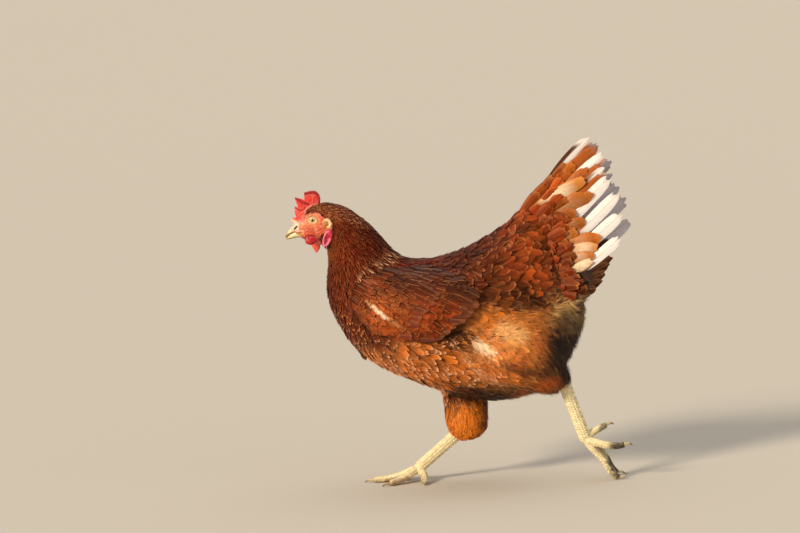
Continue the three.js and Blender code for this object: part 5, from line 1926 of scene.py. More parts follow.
def tufts(name, wanted, spacing, steps, seed, size, rise, tip, material, much):
    """Grows tufts over the form. Size is (length, half width) from the guides at each root."""
    rng = np.random.default_rng(seed)
    roots, normals = sow(wanted, spacing, rng)
    guide = coat_at(roots)
    count = len(roots)
    length, half = size(roots, guide)
    length = length * rng.uniform(0.7, 1.25, count)
    shaft, outs = walk(roots, normals, length, steps, rng, TUFT_WANDER, TUFT_HUG)
    s = np.linspace(0, 1, steps + 1)
    height = -0.4 * (1 - s) ** 2 + rise(roots)[:, None] * rng.uniform(0.4, 1.3, (count, 1)) * s**1.3
    shaft = shaft + outs * height[..., None]
    base = vary(guide[:, 5:8], rng, much)
    ends = vary(tip(roots, guide), rng, much * 0.6)
    share = ease(s, 0.35, 1.0)[None, :, None]
    colours = base[:, None] * (1 - share) + ends[:, None] * share
    colours = marked(shifted(shaft, 3.0, rng), colours, BODY_MARKS)
    along, turn = body_map(roots)
    mesh = tuft_mesh(name, shaft, outs, half, colours, rng, on_map("body", along, turn))
    piece = new_piece(name, mesh, material)
    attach(piece, "root")
    print(name, count, "tufts,", 2 * len(mesh.polygons), "triangles")
    return piece


def soft_keratin(name):
    """Down and bristles: dull and fine, with a soft warm sheen."""
    material, tree, shader = new_material(name, {
        "Roughness": 0.62, "Specular IOR Level": 0.3, "Sheen Weight": 0.15,
        "Sheen Roughness": 0.5, "Sheen Tint": rgba("#E8B078"),
    })
    coat = add(tree, "ShaderNodeVertexColor", layer_name="Coat").outputs["Color"]
    place = add(tree, "ShaderNodeUVMap", uv_map="Vane").outputs["UV"]
    grain = add(tree, "ShaderNodeTexNoise", {"Vector": place, "Scale": 6.0, "Detail": 2.0})
    value = add(tree, "ShaderNodeMapRange", {"Value": grain.outputs["Fac"], "To Min": 0.75,
                                             "To Max": 1.25}).outputs["Result"]
    tinted = add(tree, "ShaderNodeVectorMath", {0: coat, "Scale": value}, operation="SCALE")
    tree.links.new(tinted.outputs[0], shader.inputs["Base Color"])
    return material


down_keratin = soft_keratin("down_keratin")
print("a tuft has", TUFT_POINTS, "points")

# %% Fluff of the thighs and the rear
def fluffiness(points):
    return coat_at(points)[:, 4]


def is_fluffy(points):
    return is_feathered(points) & (fluffiness(points) > 0.16) & (points[:, 2] < 262)


def fluff_spacing(points):
    return 2.5 - 0.5 * ease(fluffiness(points), 0.2, 0.8)


def fluff_size(roots, guide):
    length = 12 + 9 * ease(guide[:, 4], 0.2, 0.9)
    length = length * (0.35 + 0.65 * ease(roots[:, 2], 52, 92))  # trim where the shank comes out
    return length, np.full(len(roots), 1.15)


def fluff_rise(roots):
    return 2.0 + 4.5 * ease(fluffiness(roots), 0.3, 1.0)


def fluff_tip(roots, guide):
    """Fluff is paler at its tips: golden on the thigh and sandy at the rear; below, its tips are
    dusky, partly their own dark colour and partly painted shade.
    """
    rear = ease(roots[:, 0], 100, 135)[:, None]
    high = (ease(roots[:, 2], 180, 215) * near(roots[:, 2], 228, 248))[:, None]
    leg = (near(roots[:, 2], 104, 118) * near(roots[:, 0], 40, 50))[:, None]
    gold, sand, dusk = linear("#E8A048"), linear("#D2AC70"), linear("#241810")
    gold = gold * (1 - leg) + linear("#F28C28") * leg
    tip = gold * (1 - rear) + (sand * high + dusk * (1 - high)) * rear
    share = (0.42 + 0.40 * crinkle(roots, 12.0, 8)).clip(0.05, 0.9)[:, None]
    dark = 0.9 * ease(100 * guide[:, 5:6], 7, 2)  # shaded tracts have hardly any pale tips
    share = share * (1 - dark)
    return guide[:, 5:8] * (1 - share) + tip * share


fluff = tufts("rear_fluff", is_fluffy, fluff_spacing, 4, 21, fluff_size, fluff_rise, fluff_tip,
              down_keratin, 0.35)

# %% Bristles of brow, cheek and ear
BROW = np.array([(-199, 345), (-195, 350), (-186, 356.5), (-176, 359), (-168, 356), (-165, 349),
                 (-172, 350.5), (-179, 351.5), (-186, 348), (-192, 344), (-197, 341)], float)
CHEEK = np.array([(-177, 318.5), (-176, 322.5), (-170, 325.5), (-164, 329), (-160, 333),
                  (-166, 335), (-170, 330), (-178, 325)], float)
EAR_TUFT = np.array([(-166, 341), (-160, 340), (-157.5, 336), (-160, 332), (-165, 333),
                     (-168, 336)], float)


def skull_roots(outline, gap, seed):
    """Roots on both sides of the head inside an outline in the side view."""
    rng = np.random.default_rng(seed)
    tries = rng.uniform(outline.min(0), outline.max(0), (3000, 2))
    tries = tries[inside(outline, tries[:, 0], tries[:, 1])]
    kept = tries[spaced(tries, np.full(len(tries), gap), rng)]
    roots, outs = [], []
    for x, z in kept:
        for side in (LEFT, RIGHT):
            place, out, _, _ = ray_in(skull_surface, x, z, side)
            if place:
                roots.append(place)
                outs.append(out if out.y * side > 0 else -out)
    return np.array(roots), unit(np.array(outs)), rng


def bristles(name, outline, gap, length, half, turn, rise, colours, seed):
    """Short tufts on the head. Turn is the way they point in the side view, in degrees."""
    roots, outs, rng = skull_roots(outline, gap, seed)
    count = len(roots)
    angle = np.radians(turn) + rng.normal(0, 0.22, count)
    way = np.column_stack([np.cos(angle), np.zeros(count), np.sin(angle)])
    way = unit(way - outs * (way * outs).sum(1, keepdims=True))
    s = np.linspace(0, 1, 4)
    reach = (length * rng.uniform(0.7, 1.25, count))[:, None] * s
    height = -0.5 + rise * rng.uniform(0.5, 1.3, (count, 1)) * s
    shaft = roots[:, None] + way[:, None] * reach[..., None] + outs[:, None] * height[..., None]
    low, high = (linear(code) for code in colours)
    tone = rng.random((count, 1, 1))
    share = np.clip(ease(s, 0.1, 1.0)[None, :, None] * 0.7 + 0.5 * (tone - 0.5), 0, 1)
    shades = low * (1 - share) + high * share
    along, around = body_map(roots)
    facing = np.repeat(outs[:, None], 4, axis=1)
    mesh = tuft_mesh(name, shaft, facing, np.full(count, half), shades, rng,
                     on_map("body", along, around))
    piece = new_piece(name, mesh, down_keratin)
    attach(piece, "root")
    print(name, count, "tufts")
    return piece


face_tufts = [
    bristles("brow_bristles", BROW, 0.72, 5.2, 0.42, 12, 0.9, ("#5A1C10", "#B4623A"), 61),
    bristles("cheek_bristles", CHEEK, 0.75, 4.4, 0.30, -52, 0.9, ("#A85420", "#E09A54"), 62),
    bristles("ear_bristles", EAR_TUFT, 0.7, 4.4, 0.30, -28, 1.1, ("#A05418", "#E0A050"), 63),
]

# %% [markdown]
# ## The skin's colours
#
# Hens have hardly any pigment in the bare face: its red is blood close under a thin, moist
# skin, and its yellow is fat. That gives soft borders and a translucent comb. The darker
# folds and creases, the nostril and the gape are painted shade, and the far wattle is painted
# lighter than the near one, as light and shade.
# A painter would glaze one tone over another, and so does this part: each zone has a colour
# and a distance over which it fades, and the zones are laid on in order. The small pimples
# of the comb are relief, not colour.

# %% Zones of colour
TINT = {
    "face": "#DE5E3E", "cheek": "#D8583A", "round_eye": "#ECA66C",
    "lid": "#EFC590", "crease": "#B03A28", "ear": "#F2CE92", "ear_hole": "#98501E",
    "lobe": "#F0829A", "lobe_slot": "#B40C32", "comb": "#E2453A", "comb_pale": "#F08C74",
    "fold": "#A01020", "wattle": "#C4161E", "wattle_deep": "#960A18", "far_wattle": "#EC6250",
    "cere": "#F0C4A8", "cere_ridge": "#F4D8C4", "nostril": "#1C0E08", "mouth": "#5A3018",
    "jaw": "#7A2018", "horn_yellow": "#D8A458", "leg": "#ECDAA8",
    "sole": "#8A6A48",
}
HEAD_ZONE = (-142.0, 292.0)  # the head lies before and above these x and z

skin_points = places_of(skin_mesh)
# the skin under the coat takes the coat's colours, darkened: painted shade in the gaps between
# feathers
skin_colour = coat_at(skin_points)[:, 5:8] * 0.55
skin_kind = np.zeros_like(skin_colour)  # how much of it is comb, face and leg
on_head = np.flatnonzero((skin_points[:, 0] < HEAD_ZONE[0]) & (skin_points[:, 2] > HEAD_ZONE[1]))
head_at = skin_points[on_head]
head_tint = skin_colour[on_head]
head_kind = skin_kind[on_head]


def glaze(tints, name, share):
    """Lays one tone over the colours so far."""
    return tints + np.clip(share, 0, 1)[:, None] * (linear(TINT[name]) - tints)


def off_path(points, path, steps=6):
    """How far points lie from a path."""
    fine = spline(path, np.linspace(0, 1, steps * (len(path) - 1) + 1))
    return np.sqrt(((points[:, None] - fine) ** 2).sum(2).min(1))


def lay(tone, share):
    """Lays one tone over the head."""
    head_tint[:] = glaze(head_tint, tone, share)


hx, hy, hz = head_at.T
face_outline, comb_outline, wattle_outline, _ = BARE_PARTS
bare = near(outside_of(face_outline, hx, hz), -0.5, 2.0)
comb_up = near(outside_of(comb_outline, hx, hz), -0.6, 0.8)
lay("face", bare)
head_kind[:, 1] = np.maximum(bare, comb_up)
eye_gap = np.hypot(hx - EYE["x"], hz - EYE["z"])
lay("cheek", bare * near(np.hypot(hx + 180, hz - 328), 3, 9))
blotches = crinkle(head_at, 7.0, 5)
lay("crease", 0.45 * bare * ease(blotches, 0.15, 0.9))
lay("cere", 0.40 * bare * ease(-blotches, 0.15, 0.9))
lay("round_eye", bare * 0.75 * near(eye_gap, 5.0, 11.5))
lay("round_eye", bare * 0.6 * near(np.hypot(hx + 193, (hz - 336) * 1.3), 2, 8))
for side in (LEFT, RIGHT):
    here = (hy * side > 0).astype(float)
    for path, thick in WRINKLES:
        gap = off_path(head_at, on_face(path, side, 0.0))
        # painted shade in the groove beside each wrinkle, and a paler yellow along its top
        lay("crease", 0.35 * bare * here * near(np.abs(gap - 1.5 * thick), 0.2, 0.9))
        lay("round_eye", 0.25 * bare * here * near(gap, 0.4, 1.2))
    ring = 6.3 + 0.5 * crinkle(head_at, 6.0, 7)
    # painted shade in the fold round the eye
    lay("crease", 0.5 * here * near(np.abs(eye_gap - ring), 0.2, 1.0))
    for (length, height, thick), share in zip(LIDS[:2], (0.9, 0.25)):
        gap = off_path(head_at, lid_path(length, height, side), 1)
        lay("lid", share * here * near(gap, 0.6 * thick + 0.3, thick + 0.7))
    gap = off_path(head_at, ear_path(side))
    in_ear = near(np.hypot((hx - EAR["x"] + 1.5) / 1.2, hz - EAR["z"] + 0.5), 2.2, 4.2)
    lay("ear_hole", here * in_ear * 0.85)
    lay("ear", here * near(gap, 1.5, 2.7) * (0.35 + 0.65 * ease(hx, -166, -162.5)))
    gap = off_path(head_at, lobe_ring(side, 0.78, 1.5), 2)
    lean = LOBE["tilt"]
    dx, dz = hx - LOBE["x"], hz - LOBE["z"]
    oval = np.hypot((dx * math.cos(lean) - dz * math.sin(lean)) / LOBE["width"],
                    (dz * math.cos(lean) + dx * math.sin(lean)) / LOBE["length"])
    out = ease(hy * side - abs(flank_of(skull_surface, LOBE["x"], LOBE["z"], side)), -1.6, -0.4)
    lobe_here = here * near(oval, 1.0, 1.15) * out
    lay("lobe_slot", lobe_here)
    lay("lobe", lobe_here * near(gap, 0.9, 1.9))
    head_kind[:, 0] = np.maximum(head_kind[:, 0], lobe_here)
print(len(on_head), "points of the head")

# %% Comb, wattles, cere and mouth
lay("comb", comb_up)
for path, deep in COMB_POINTS:
    tip = np.array(path[-1])
    gap = np.linalg.norm(head_at - tip, axis=1)
    lay("comb_pale", 0.55 * comb_up * near(gap, 1, 8))
pale_foot = comb_up * (1 - near(outside_of(comb_outline, hx, hz), -5.0, -1.0))
lay("comb_pale", 0.6 * pale_foot)
# painted shade in the comb's folds
for path, thick in COMB_FOLDS[:3]:
    gap = off_path(head_at, path)
    lay("fold", 0.9 * comb_up * near(gap, 0.8 * thick, 1.7 * thick))
head_kind[:, 0] = np.maximum(head_kind[:, 0], comb_up)

by_wattles = near(outside_of(wattle_outline, hx, hz), -0.5, 1.5) * near(hz, 318, 321)
lay("far_wattle", 0.85 * by_wattles * near(hz, 314, 317))
lay("jaw", 0.85 * by_wattles * ease(hz, 314, 317))
# the far wattle is painted lighter than the near one, the same tissue: painted light and shade
for (path, deep, _), tone, reach in zip(WATTLES, ("wattle", "far_wattle"), (7.8, 7.6)):
    gap = off_path(head_at, path)
    hangs = near(gap, reach - 0.6, reach + 0.8) * near(hz, 322.5, 325.0) * (hz < 325)
    nearer = (hy < 0) if path[0][1] < 0 else (hy >= 0)
    lay(tone, hangs * nearer)
    head_kind[:, 0] = np.maximum(head_kind[:, 0], hangs * nearer)
# the top of the near wattle, under the jaw, is painted deeper red as shade
deep_red = near(off_path(head_at, WATTLES[0][0]), 1.5, 7.0) * near(hz, 321, 324) * (hy < 0)
lay("wattle_deep", 0.45 * deep_red)

cere_share = near(hx, -199.0, -195.0) * ease(hz, 328.2, 329.6) * near(hz + 0.5 * hx, 240, 243)
lay("cere", cere_share)
flat = head_at * [1, 0, 1]
slot = [(NOSTRIL["x"] + s, 0, NOSTRIL["z"] + s) for s in (-1.6, 1.6)]
gap = off_path(flat, slot)
lay("cere_ridge", cere_share * near(gap, 1.2, 3.0))
# painted shade inside the nostril
lay("nostril", (np.abs(hy) > 2) * near(gap, 0.95, 1.35))
lip = [(-203, 0, 328.6), (-196.5, 0, 329.6), (-191.5, 0, 328.8)]
lay("cere", 0.6 * bare * near(off_path(flat, lip), 0.5, 2.4))
corner = [(-199, 0, 325.6), (-192.5, 0, 325.4)]
lay("horn_yellow", 0.8 * bare * near(off_path(flat, corner), 1.0, 2.2))
line = [(MOUTH["front"] - 2, 0, MOUTH["z"]), (-196, 0, MOUTH["z"]),
        (MOUTH["corner"], 0, MOUTH["z"])]
gap = off_path(flat, line)
# painted shade in the groove of the gape
lay("mouth", 0.6 * near(gap, 0.3, 0.9) * (np.abs(hy) > 2))
jaw = [(-189, 0, 321.5), (-181, 0, 323.2), (-173.5, 0, 321.5), (-170.5, 0, 317)]
gap = off_path(flat, jaw)
lay("jaw", 0.7 * bare * near(gap, 0.5, 1.6))
skin_colour[on_head], skin_kind[on_head] = head_tint, head_kind

# %% Colour of the legs
for leg in LEGS.values():
    paths = [shank_path(leg), *(toe_path(leg, toe) for toe in leg["toes"])]
    close = np.flatnonzero(skin_points[:, 2] < leg["hock"][2] + 8)
    close = close[np.abs(skin_points[close, 0] - leg["joint"][0]) < 90]
    gap = np.min([off_path(skin_points[close], path) for path in paths], axis=0)
    share = near(gap, 8.0, 9.5)
    tints = glaze(skin_colour[close], "leg", share)
    low = near(skin_points[close, 2], 1.0, 6.0)
    tints = glaze(tints, "sole", 0.7 * share * low)
    tints = blend_into(tints, marked(skin_points[close], tints, TOE_MARKS), share)
    skin_colour[close] = tints
    skin_kind[close, 2] = np.maximum(skin_kind[close, 2], share)
paint(skin_mesh, "Skin", skin_colour)
paint(skin_mesh, "Kind", skin_kind)
print("skin painted")

# %% Skin as a material
PAPILLA = 1100.0  # cells a metre: pimples of the comb are about 0.9 mm wide
BLOTCH, GRAIN = 420.0, 2600.0  # the same for where the blood shows, and for the finest grain


def living_skin():
    """Bare skin: moist, with blood close under it, pimply on comb, wattles and lobes."""
    material, tree, shader = new_material("skin", {
        "Subsurface Radius": (1.0, 0.25, 0.15), "Subsurface Scale": 0.0022, "Roughness": 0.42,
        "Specular IOR Level": 0.45,
    })
    tint = add(tree, "ShaderNodeVertexColor", layer_name="Skin").outputs["Color"]
    kind = add(tree, "ShaderNodeVertexColor", layer_name="Kind").outputs["Color"]
    kind = add(tree, "ShaderNodeSeparateColor", {"Color": kind}).outputs
    place = add(tree, "ShaderNodeTexCoord").outputs["Object"]
    blotch = add(tree, "ShaderNodeTexNoise", {"Vector": place, "Scale": BLOTCH, "Detail": 4.0,
                                              "Roughness": 0.6}).outputs["Fac"]
    pimple = add(tree, "ShaderNodeTexVoronoi", {"Vector": place, "Scale": PAPILLA,
                                                "Smoothness": 0.6}, feature="SMOOTH_F1")
    fine = add(tree, "ShaderNodeTexNoise", {"Vector": place, "Scale": GRAIN, "Detail": 3.0})
    value = add(tree, "ShaderNodeMapRange", {"Value": blotch, "From Min": 0.3, "From Max": 0.7,
                                             "To Min": 0.78, "To Max": 1.16}).outputs["Result"]
    mottled = add(tree, "ShaderNodeVectorMath", {0: tint, "Scale": value}, operation="SCALE")
    tree.links.new(mottled.outputs[0], shader.inputs["Base Color"])
    knob = add(tree, "ShaderNodeMath", {0: pimple.outputs["Distance"], 1: kind["Red"]},
               operation="MULTIPLY").outputs[0]
    grain = add(tree, "ShaderNodeMath", {0: fine.outputs["Fac"], 1: 0.45, 2: knob},
                operation="MULTIPLY_ADD").outputs[0]
    bump = add(tree, "ShaderNodeBump", {"Height": grain, "Strength": 0.5, "Distance": RELIEF})
    tree.links.new(bump.outputs["Normal"], shader.inputs["Normal"])
    fleshy = add(tree, "ShaderNodeMath", {0: kind["Green"], 1: 0.35}, operation="MULTIPLY")
    tree.links.new(fleshy.outputs[0], shader.inputs["Subsurface Weight"])
    return material


skin = new_piece("skin", skin_mesh, living_skin())
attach(skin, "root")
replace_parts(skin, "head", "neck", "torso", "thigh_left", "thigh_right", "comb", "wattle_left",
            "wattle_right", "earlobe_left", "earlobe_right", "shank_left", "shank_right",
            *[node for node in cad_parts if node.startswith("toe_")])
print("skin:", 2 * len(skin_mesh.polygons), "triangles at most")

# %% [markdown]
# ## Eyes
#
# The eye is a ball of its own, so that the lids really lie round it. A painted disc would
# look flat from the side. The ball bulges a little at the cornea, the iris is pale with fine
# spokes, and a thin clear coat over all gives the wet glint.

# %% Eyeballs
IRIS = 3.5  # radius in mm
CORNEA = 0.35  # how far it bulges


def wet_eye():
    """An eyeball: a dark pupil, a pale iris with spokes and a dark rim, under a wet coat."""
    material, tree, shader = new_material("wet_eye", {
        "Roughness": 0.25, "Coat Weight": 1.0, "Coat Roughness": 0.03, "Coat IOR": 1.376,
    })
    gaze = add(tree, "ShaderNodeVertexColor", layer_name="Gaze").outputs["Color"]
    gaze = add(tree, "ShaderNodeSeparateColor", {"Color": gaze}).outputs
    spoke_place = add(tree, "ShaderNodeCombineXYZ", {"X": gaze["Green"], "Y": gaze["Blue"]})
    spokes = add(tree, "ShaderNodeTexNoise", {"Vector": spoke_place.outputs[0], "Scale": 9.0,
                                              "Detail": 3.0}).outputs["Fac"]
    wavy = add(tree, "ShaderNodeMath", {0: spokes, 1: 0.05, 2: gaze["Red"]},
               operation="MULTIPLY_ADD").outputs[0]
    ramp = add(tree, "ShaderNodeValToRGB", {"Fac": wavy})
    stops = ramp.color_ramp.elements
    stops[0].position, stops[0].color = 0.0, rgba("#080605")
    stops[1].position, stops[1].color = 1.0, rgba("#2A1A10")
    for at, code in [(0.225, "#080605"), (0.26, "#8A7A48"), (0.33, "#CFC288"), (0.50, "#C8B474"),
                     (0.58, "#7A5A2C"), (0.64, "#2A1A10")]:
        stop = stops.new(at)
        stop.color = rgba(code)
    tree.links.new(ramp.outputs["Color"], shader.inputs["Base Color"])
    return material


def eyeball(name, side, material):
    rings, sides = 40, 48
    tilt = np.linspace(0, np.pi, rings + 2)[1:-1]
    turn = 2 * np.pi * np.arange(sides) / sides
    edge = math.asin(IRIS / EYE["radius"])
    bulge = CORNEA * np.maximum(0, 1 - (tilt / edge) ** 2)
    radius = EYE["radius"] + bulge
    across = radius * np.sin(tilt)
    out = radius * np.cos(tilt)
    x = EYE["x"] + across[:, None] * np.cos(turn)
    z = EYE["z"] + across[:, None] * np.sin(turn)
    y = side * (EYE["depth"] + out[:, None] + 0 * turn)
    stack = np.stack([x, y, z], -1)
    if side == RIGHT:
        stack = stack[:, ::-1]
    points, faces = closed(stack)
    mesh = new_mesh(name, points, faces)
    flat = (points - [EYE["x"], 0, EYE["z"]]) / EYE["radius"]
    from_axis = np.arctan2(np.hypot(flat[:, 0], flat[:, 2]),
                           (points[:, 1] * side - EYE["depth"]) / EYE["radius"]) * 0.9
    round_it = np.arctan2(flat[:, 2], flat[:, 0])
    paint(mesh, "Gaze", np.column_stack([from_axis, np.cos(round_it), np.sin(round_it)]))
    piece = new_piece(name, mesh, material)
    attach(piece, "root")
    return piece


eye_material = wet_eye()
for name, side in SIDES.items():
    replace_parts(eyeball(f"eyeball_{name}", side, eye_material), f"eye_{name}")
print("eyes", 2 * EYE["radius"], "mm across")

# %% [markdown]
# ## Beak and claws
#
# Both are horn over bone: layers of keratin that grow lengthways, glossy where they are worn
# smooth, dark at the cutting edges. The beak comes out from under the cere. The claws are
# curved cones, a little narrower than deep.

# %% Horn
BEAK_LOWER = [
    ((-192.0, 319.0), (-193.0, 329.0), 6.6, 0.10),
    ((-197.0, 320.2), (-198.0, 329.4), 6.3, 0.10),
    ((-202.5, 319.8), (-202.8, 328.6), 5.2, 0.10),
    ((-207.5, 318.8), (-207.8, 326.4), 3.7, 0.10),
    ((-211.6, 318.3), (-212.0, 322.8), 1.9, 0.10),
    ((-213.2, 318.9), (-213.4, 320.4), 0.7, 0.00),
]
CLAW = {"root": 2.5, "tip": 0.35, "clear": 0.05}  # mm; clear is how far it stays off the floor


def horn(name, light, dark):
    """Keratin in layers: pale yellow, with growth lines and a darker edge."""
    material, tree, shader = new_material(name, {
        "Roughness": 0.32, "IOR": 1.55, "Subsurface Weight": 0.12,
        "Subsurface Radius": (1.0, 0.7, 0.4), "Subsurface Scale": 0.0015,
    })
    edge = add(tree, "ShaderNodeVertexColor", layer_name="Horn").outputs["Color"]
    edge = add(tree, "ShaderNodeSeparateColor", {"Color": edge}).outputs
    place = add(tree, "ShaderNodeTexCoord").outputs["Object"]
    cloud = add(tree, "ShaderNodeTexNoise", {"Vector": place, "Scale": 260.0, "Detail": 4.0})
    lines_at = add(tree, "ShaderNodeMapping", {"Vector": place, "Scale": (1.0, 0.6, 6.0)})
    lines = add(tree, "ShaderNodeTexNoise", {"Vector": lines_at.outputs[0], "Scale": 400.0,
                                             "Detail": 3.0})
    share = add(tree, "ShaderNodeMapRange", {"Value": cloud.outputs["Fac"], "From Min": 0.35,
                                             "From Max": 0.75, "To Min": 0.0, "To Max": 0.45})
    share = add(tree, "ShaderNodeMath", {0: share.outputs["Result"], 1: edge["Red"]},
                operation="ADD", use_clamp=True)
    mixed = add(tree, "ShaderNodeMix", {"Factor": share.outputs[0], 6: rgba(light),
                                        7: rgba(dark)}, data_type="RGBA").outputs[2]
    tree.links.new(mixed, shader.inputs["Base Color"])
    bump = add(tree, "ShaderNodeBump", {"Height": lines.outputs["Fac"], "Strength": 0.25,
                                        "Distance": 0.0003})
    tree.links.new(bump.outputs["Normal"], shader.inputs["Normal"])
    return material


def beak_half(name, rows, low_edge, node, material):
    """One half of the beak. Its cutting edge is darker."""
    points, faces = closed(sections(rows, 40, 10))
    mesh = new_mesh(name, points, faces)
    x = points[:, 0]
    order = np.argsort([(r[0][0] + r[1][0]) / 2 for r in rows])
    along = np.array([(r[0][0] + r[1][0]) / 2 for r in rows])[order]
    edge_z = np.array([(r[0] if low_edge else r[1])[1] for r in rows])[order]
    gap = np.abs(points[:, 2] - np.interp(x, along, edge_z))
    tip = ease(-x, 208.5, 214.0)
    under = points[:, 2] - np.interp(x, along, np.array([row[0][1] for row in rows])[order])
    dark = np.maximum(0.95 * near(gap, 1.0, 2.4), 0.45 * tip)
    dark = np.maximum(dark, 0.75 * near(under, 0.8, 2.4) * ease(-x, 192, 198))
    paint(mesh, "Horn", np.column_stack([dark, dark, dark]))
    piece = new_piece(name, mesh, material)
    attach(piece, "root")
    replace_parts(piece, node)
    print(name, len(faces), "faces")


beak_material = horn("beak_horn_keratin", "#EDDDA6", "#8F7038")
beak_half("upper_beak", BEAK_UPPER, True, "beak_upper", beak_material)
beak_half("lower_beak", BEAK_LOWER, False, "beak_lower", beak_material)

claw_material = horn("claw_horn_keratin", "#C8B48C", "#5E4A34")
for leg_name, leg in LEGS.items():
    for toe, path in leg["claws"].items():
        at = np.linspace(0, 1, 7)
        size = (CLAW["root"] * (1 - at) ** 0.75 + CLAW["tip"]).tolist()
        start = np.array(path[0], float)
        back = start + (start - np.array(path[1])) * 0.35
        points, faces = closed(tube([tuple(back), *path], size, [0.72 * s for s in size], 16, 5))
        points[:, 2] = np.maximum(points[:, 2], CLAW["clear"])
        mesh = new_mesh(f"claw_{leg_name}_{toe}", points, faces)
        gap = np.linalg.norm(points - np.array(path[-1]), axis=1)
        dark = 0.8 * near(gap, 1.0, 7.0)
        paint(mesh, "Horn", np.column_stack([dark, dark, dark]))
        claw = new_piece(f"claw_horn_{leg_name}_{toe}", mesh, claw_material)
        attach(claw, "root")
        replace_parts(claw, f"claw_{leg_name}_{toe}")
print("claws:", sum(len(leg["claws"]) for leg in LEGS.values()))

# %% [markdown]
# ## Scaly legs
#
# The front of the shank and the top of each toe carry broad plates that overlap like the
# plates of an armour, in two rows on the shank and one on the toes. The back has a row too,
# and small round scales fill the sides and the soles. A bump texture alone would leave the
# outline smooth, so the plates are thin shells whose lower edges stand up.

# %% Plates
SHANK_STEP = 4.6  # mm from plate to plate
TOE_STEP = 3.4
PLATE = {"rise": 0.75, "sink": 0.5, "clear": 0.12, "overlap": 1.25, "down": 7, "round": 7}


def frame_of(path, deep, wide, at):
    """Middle, across, outwards and radii of a tube at places from 0 to 1."""
    fine = np.linspace(0, 1, 200)
    middle = spline(path, fine)
    along = unit(np.gradient(middle, axis=0))
    across = unit(np.array([0.0, 1.0, 0.0]) - along * along[:, 1:2])
    sole = np.cross(along, across)
    pick = lambda rows: np.stack([np.interp(at, fine, rows[:, k]) for k in range(3)], -1)
    return pick(middle), pick(across), pick(sole), spread(deep, at), spread(wide, at)


def plate(path, deep, wide, start, end, turn, half_turn):
    """A shell on a tube between two places along it and about a direction round it. Its
    lower edge stands up and is rounded, and all its edges dip into the skin."""
    v = np.linspace(0, 1, PLATE["down"])
    u = np.linspace(-1, 1, PLATE["round"])
    drawn = 0.10 * (end - start) * u**2
    at = start + (end - start) * v[:, None] - drawn[None, :] * v[:, None]
    angle = turn + half_turn * u[None, :] * (1 - 0.10 * v[:, None] ** 2)
    middle, across, sole, r_deep, r_wide = frame_of(path, deep, wide, np.clip(at, 0, 1).ravel())
    ring = np.broadcast_to(angle, at.shape).ravel()
    out = across * (np.sin(ring) * r_wide)[:, None] + sole * (np.cos(ring) * r_deep)[:, None]
    crown = (1 - np.abs(u) ** 4)[None, :] * np.clip(np.minimum(v * 3, (1 - v) * 9), 0, 1)[:, None]
    height = -PLATE["sink"] + (PLATE["sink"] + PLATE["rise"] * (0.3 + 0.7 * v[:, None])) * crown
    out = out + unit(out) * height.ravel()[:, None]
    return (middle + out).reshape(PLATE["down"], PLATE["round"], 3)


def plates_on(path, deep, wide, step, turn, half_turn, first, last, phase=0.0):
    length = np.linalg.norm(np.diff(spline(path, np.linspace(0, 1, 60)), axis=0), axis=1).sum()
    share = step / length
    places = np.arange(first + phase * share, last, share)
    return [plate(path, deep, wide, at - 0.5 * PLATE["overlap"] * share,
                  at + 0.5 * PLATE["overlap"] * share, turn, half_turn) for at in places]


def leg_plates(leg):
    deep, wide = shank_size(0.15)
    path = shank_path(leg)
    front, back = math.pi, 0.0
    rows = []
    for turn, half_turn, phase in ((front - 0.42, 0.50, 0.0), (front + 0.42, 0.50, 0.5),
                                   (back - 0.35, 0.42, 0.25), (back + 0.35, 0.42, 0.75)):
        rows += plates_on(path, deep, wide, SHANK_STEP, turn, half_turn, 0.12, 0.97, phase)
    for turn, phase in ((front - 1.12, 0.2), (front + 1.12, 0.7), (front - 1.62, 0.5),
                        (front + 1.62, 0.0), (front - 2.1, 0.1), (front + 2.1, 0.6)):
        rows += plates_on(path, deep, wide, 0.55 * SHANK_STEP, turn, 0.27, 0.12, 0.97, phase)
    for toe in leg["toes"]:
        size = toe_size(leg, toe, 0.15)
        along = toe_path(leg, toe)
        rows += plates_on(along, size, size, TOE_STEP, front, 0.95, 0.10, 0.97)
        for turn, phase in ((front - 1.35, 0.0), (front + 1.35, 0.5), (front - 1.85, 0.4),
                            (front + 1.85, 0.9)):
            rows += plates_on(along, size, size, 0.6 * TOE_STEP, turn, 0.34, 0.08, 0.97, phase)
    return np.array(rows)


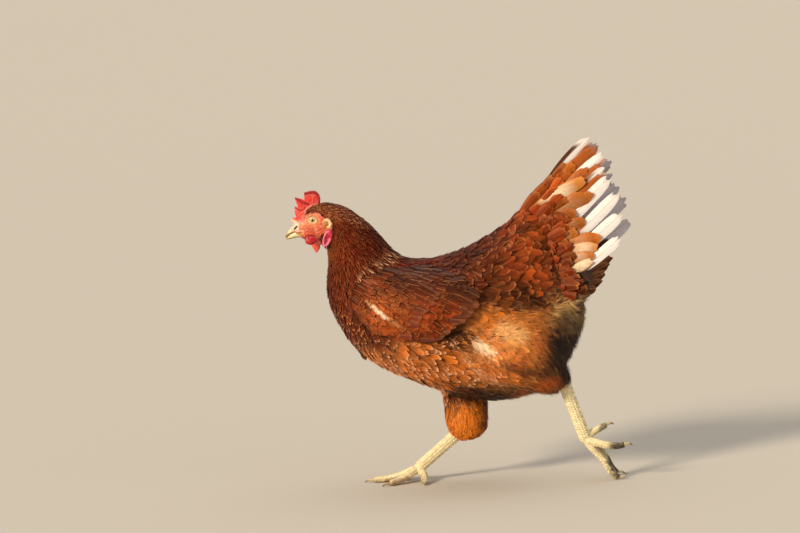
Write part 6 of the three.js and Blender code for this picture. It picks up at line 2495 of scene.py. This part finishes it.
def leg_keratin():
    """Plates of the legs: cream horn, rather glossy, darker where one plate meets the next."""
    material, tree, shader = new_material("leg_plate_keratin", {
        "Roughness": 0.42, "IOR": 1.55,
    })
    coat = add(tree, "ShaderNodeVertexColor", layer_name="Coat").outputs["Color"]
    place = add(tree, "ShaderNodeTexCoord").outputs["Object"]
    cloud = add(tree, "ShaderNodeTexNoise", {"Vector": place, "Scale": 300.0, "Detail": 4.0})
    value = add(tree, "ShaderNodeMapRange", {"Value": cloud.outputs["Fac"], "From Min": 0.3,
                                             "From Max": 0.7, "To Min": 0.8, "To Max": 1.1})
    tinted = add(tree, "ShaderNodeVectorMath", {0: coat, "Scale": value.outputs["Result"]},
                 operation="SCALE")
    tree.links.new(tinted.outputs[0], shader.inputs["Base Color"])
    bump = add(tree, "ShaderNodeBump", {"Height": cloud.outputs["Fac"], "Strength": 0.2,
                                        "Distance": 0.0003})
    tree.links.new(bump.outputs["Normal"], shader.inputs["Normal"])
    return material


leg_material = leg_keratin()
for index, (leg_name, leg) in enumerate(LEGS.items()):
    rng = np.random.default_rng(71 + index)
    points = leg_plates(leg)
    points[..., 2] = np.maximum(points[..., 2], PLATE["clear"])
    count = len(points)
    base = vary(np.tile(linear("#F0DEAE"), (count, 1)), rng, 0.07)
    grooves = 1 - 0.5 * ease(np.abs(np.linspace(-1, 1, PLATE["down"])), 0.75, 1.0)
    colours = base[:, None, None] * grooves[None, :, None, None]
    colours = np.broadcast_to(colours, points.shape).copy()
    low = near(points[..., 2], 1.5, 9.0) * rng.uniform(0.2, 1.0, (count, 1, 1))
    colours = blend_into(colours, linear("#8A6A48"), 0.65 * low)
    colours = marked(points, colours, TOE_MARKS)
    quill = np.column_stack([rng.random(count), np.zeros((count, 2))])
    middle = points.mean((1, 2))
    span = np.ptp(middle, axis=0)
    across = (middle[:, 0] - middle[:, 0].min()) / span[0]
    up = (middle[:, 2] - middle[:, 2].min()) / span[2]
    mesh = feather_mesh(f"leg_plates_{leg_name}", points, colours, quill,
                        on_map(leg_name, across, up))
    plates = new_piece(f"leg_plates_{leg_name}", mesh, leg_material)
    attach(plates, "root")
    print(plates.name, count, "plates")

# %% Finish
print("done")
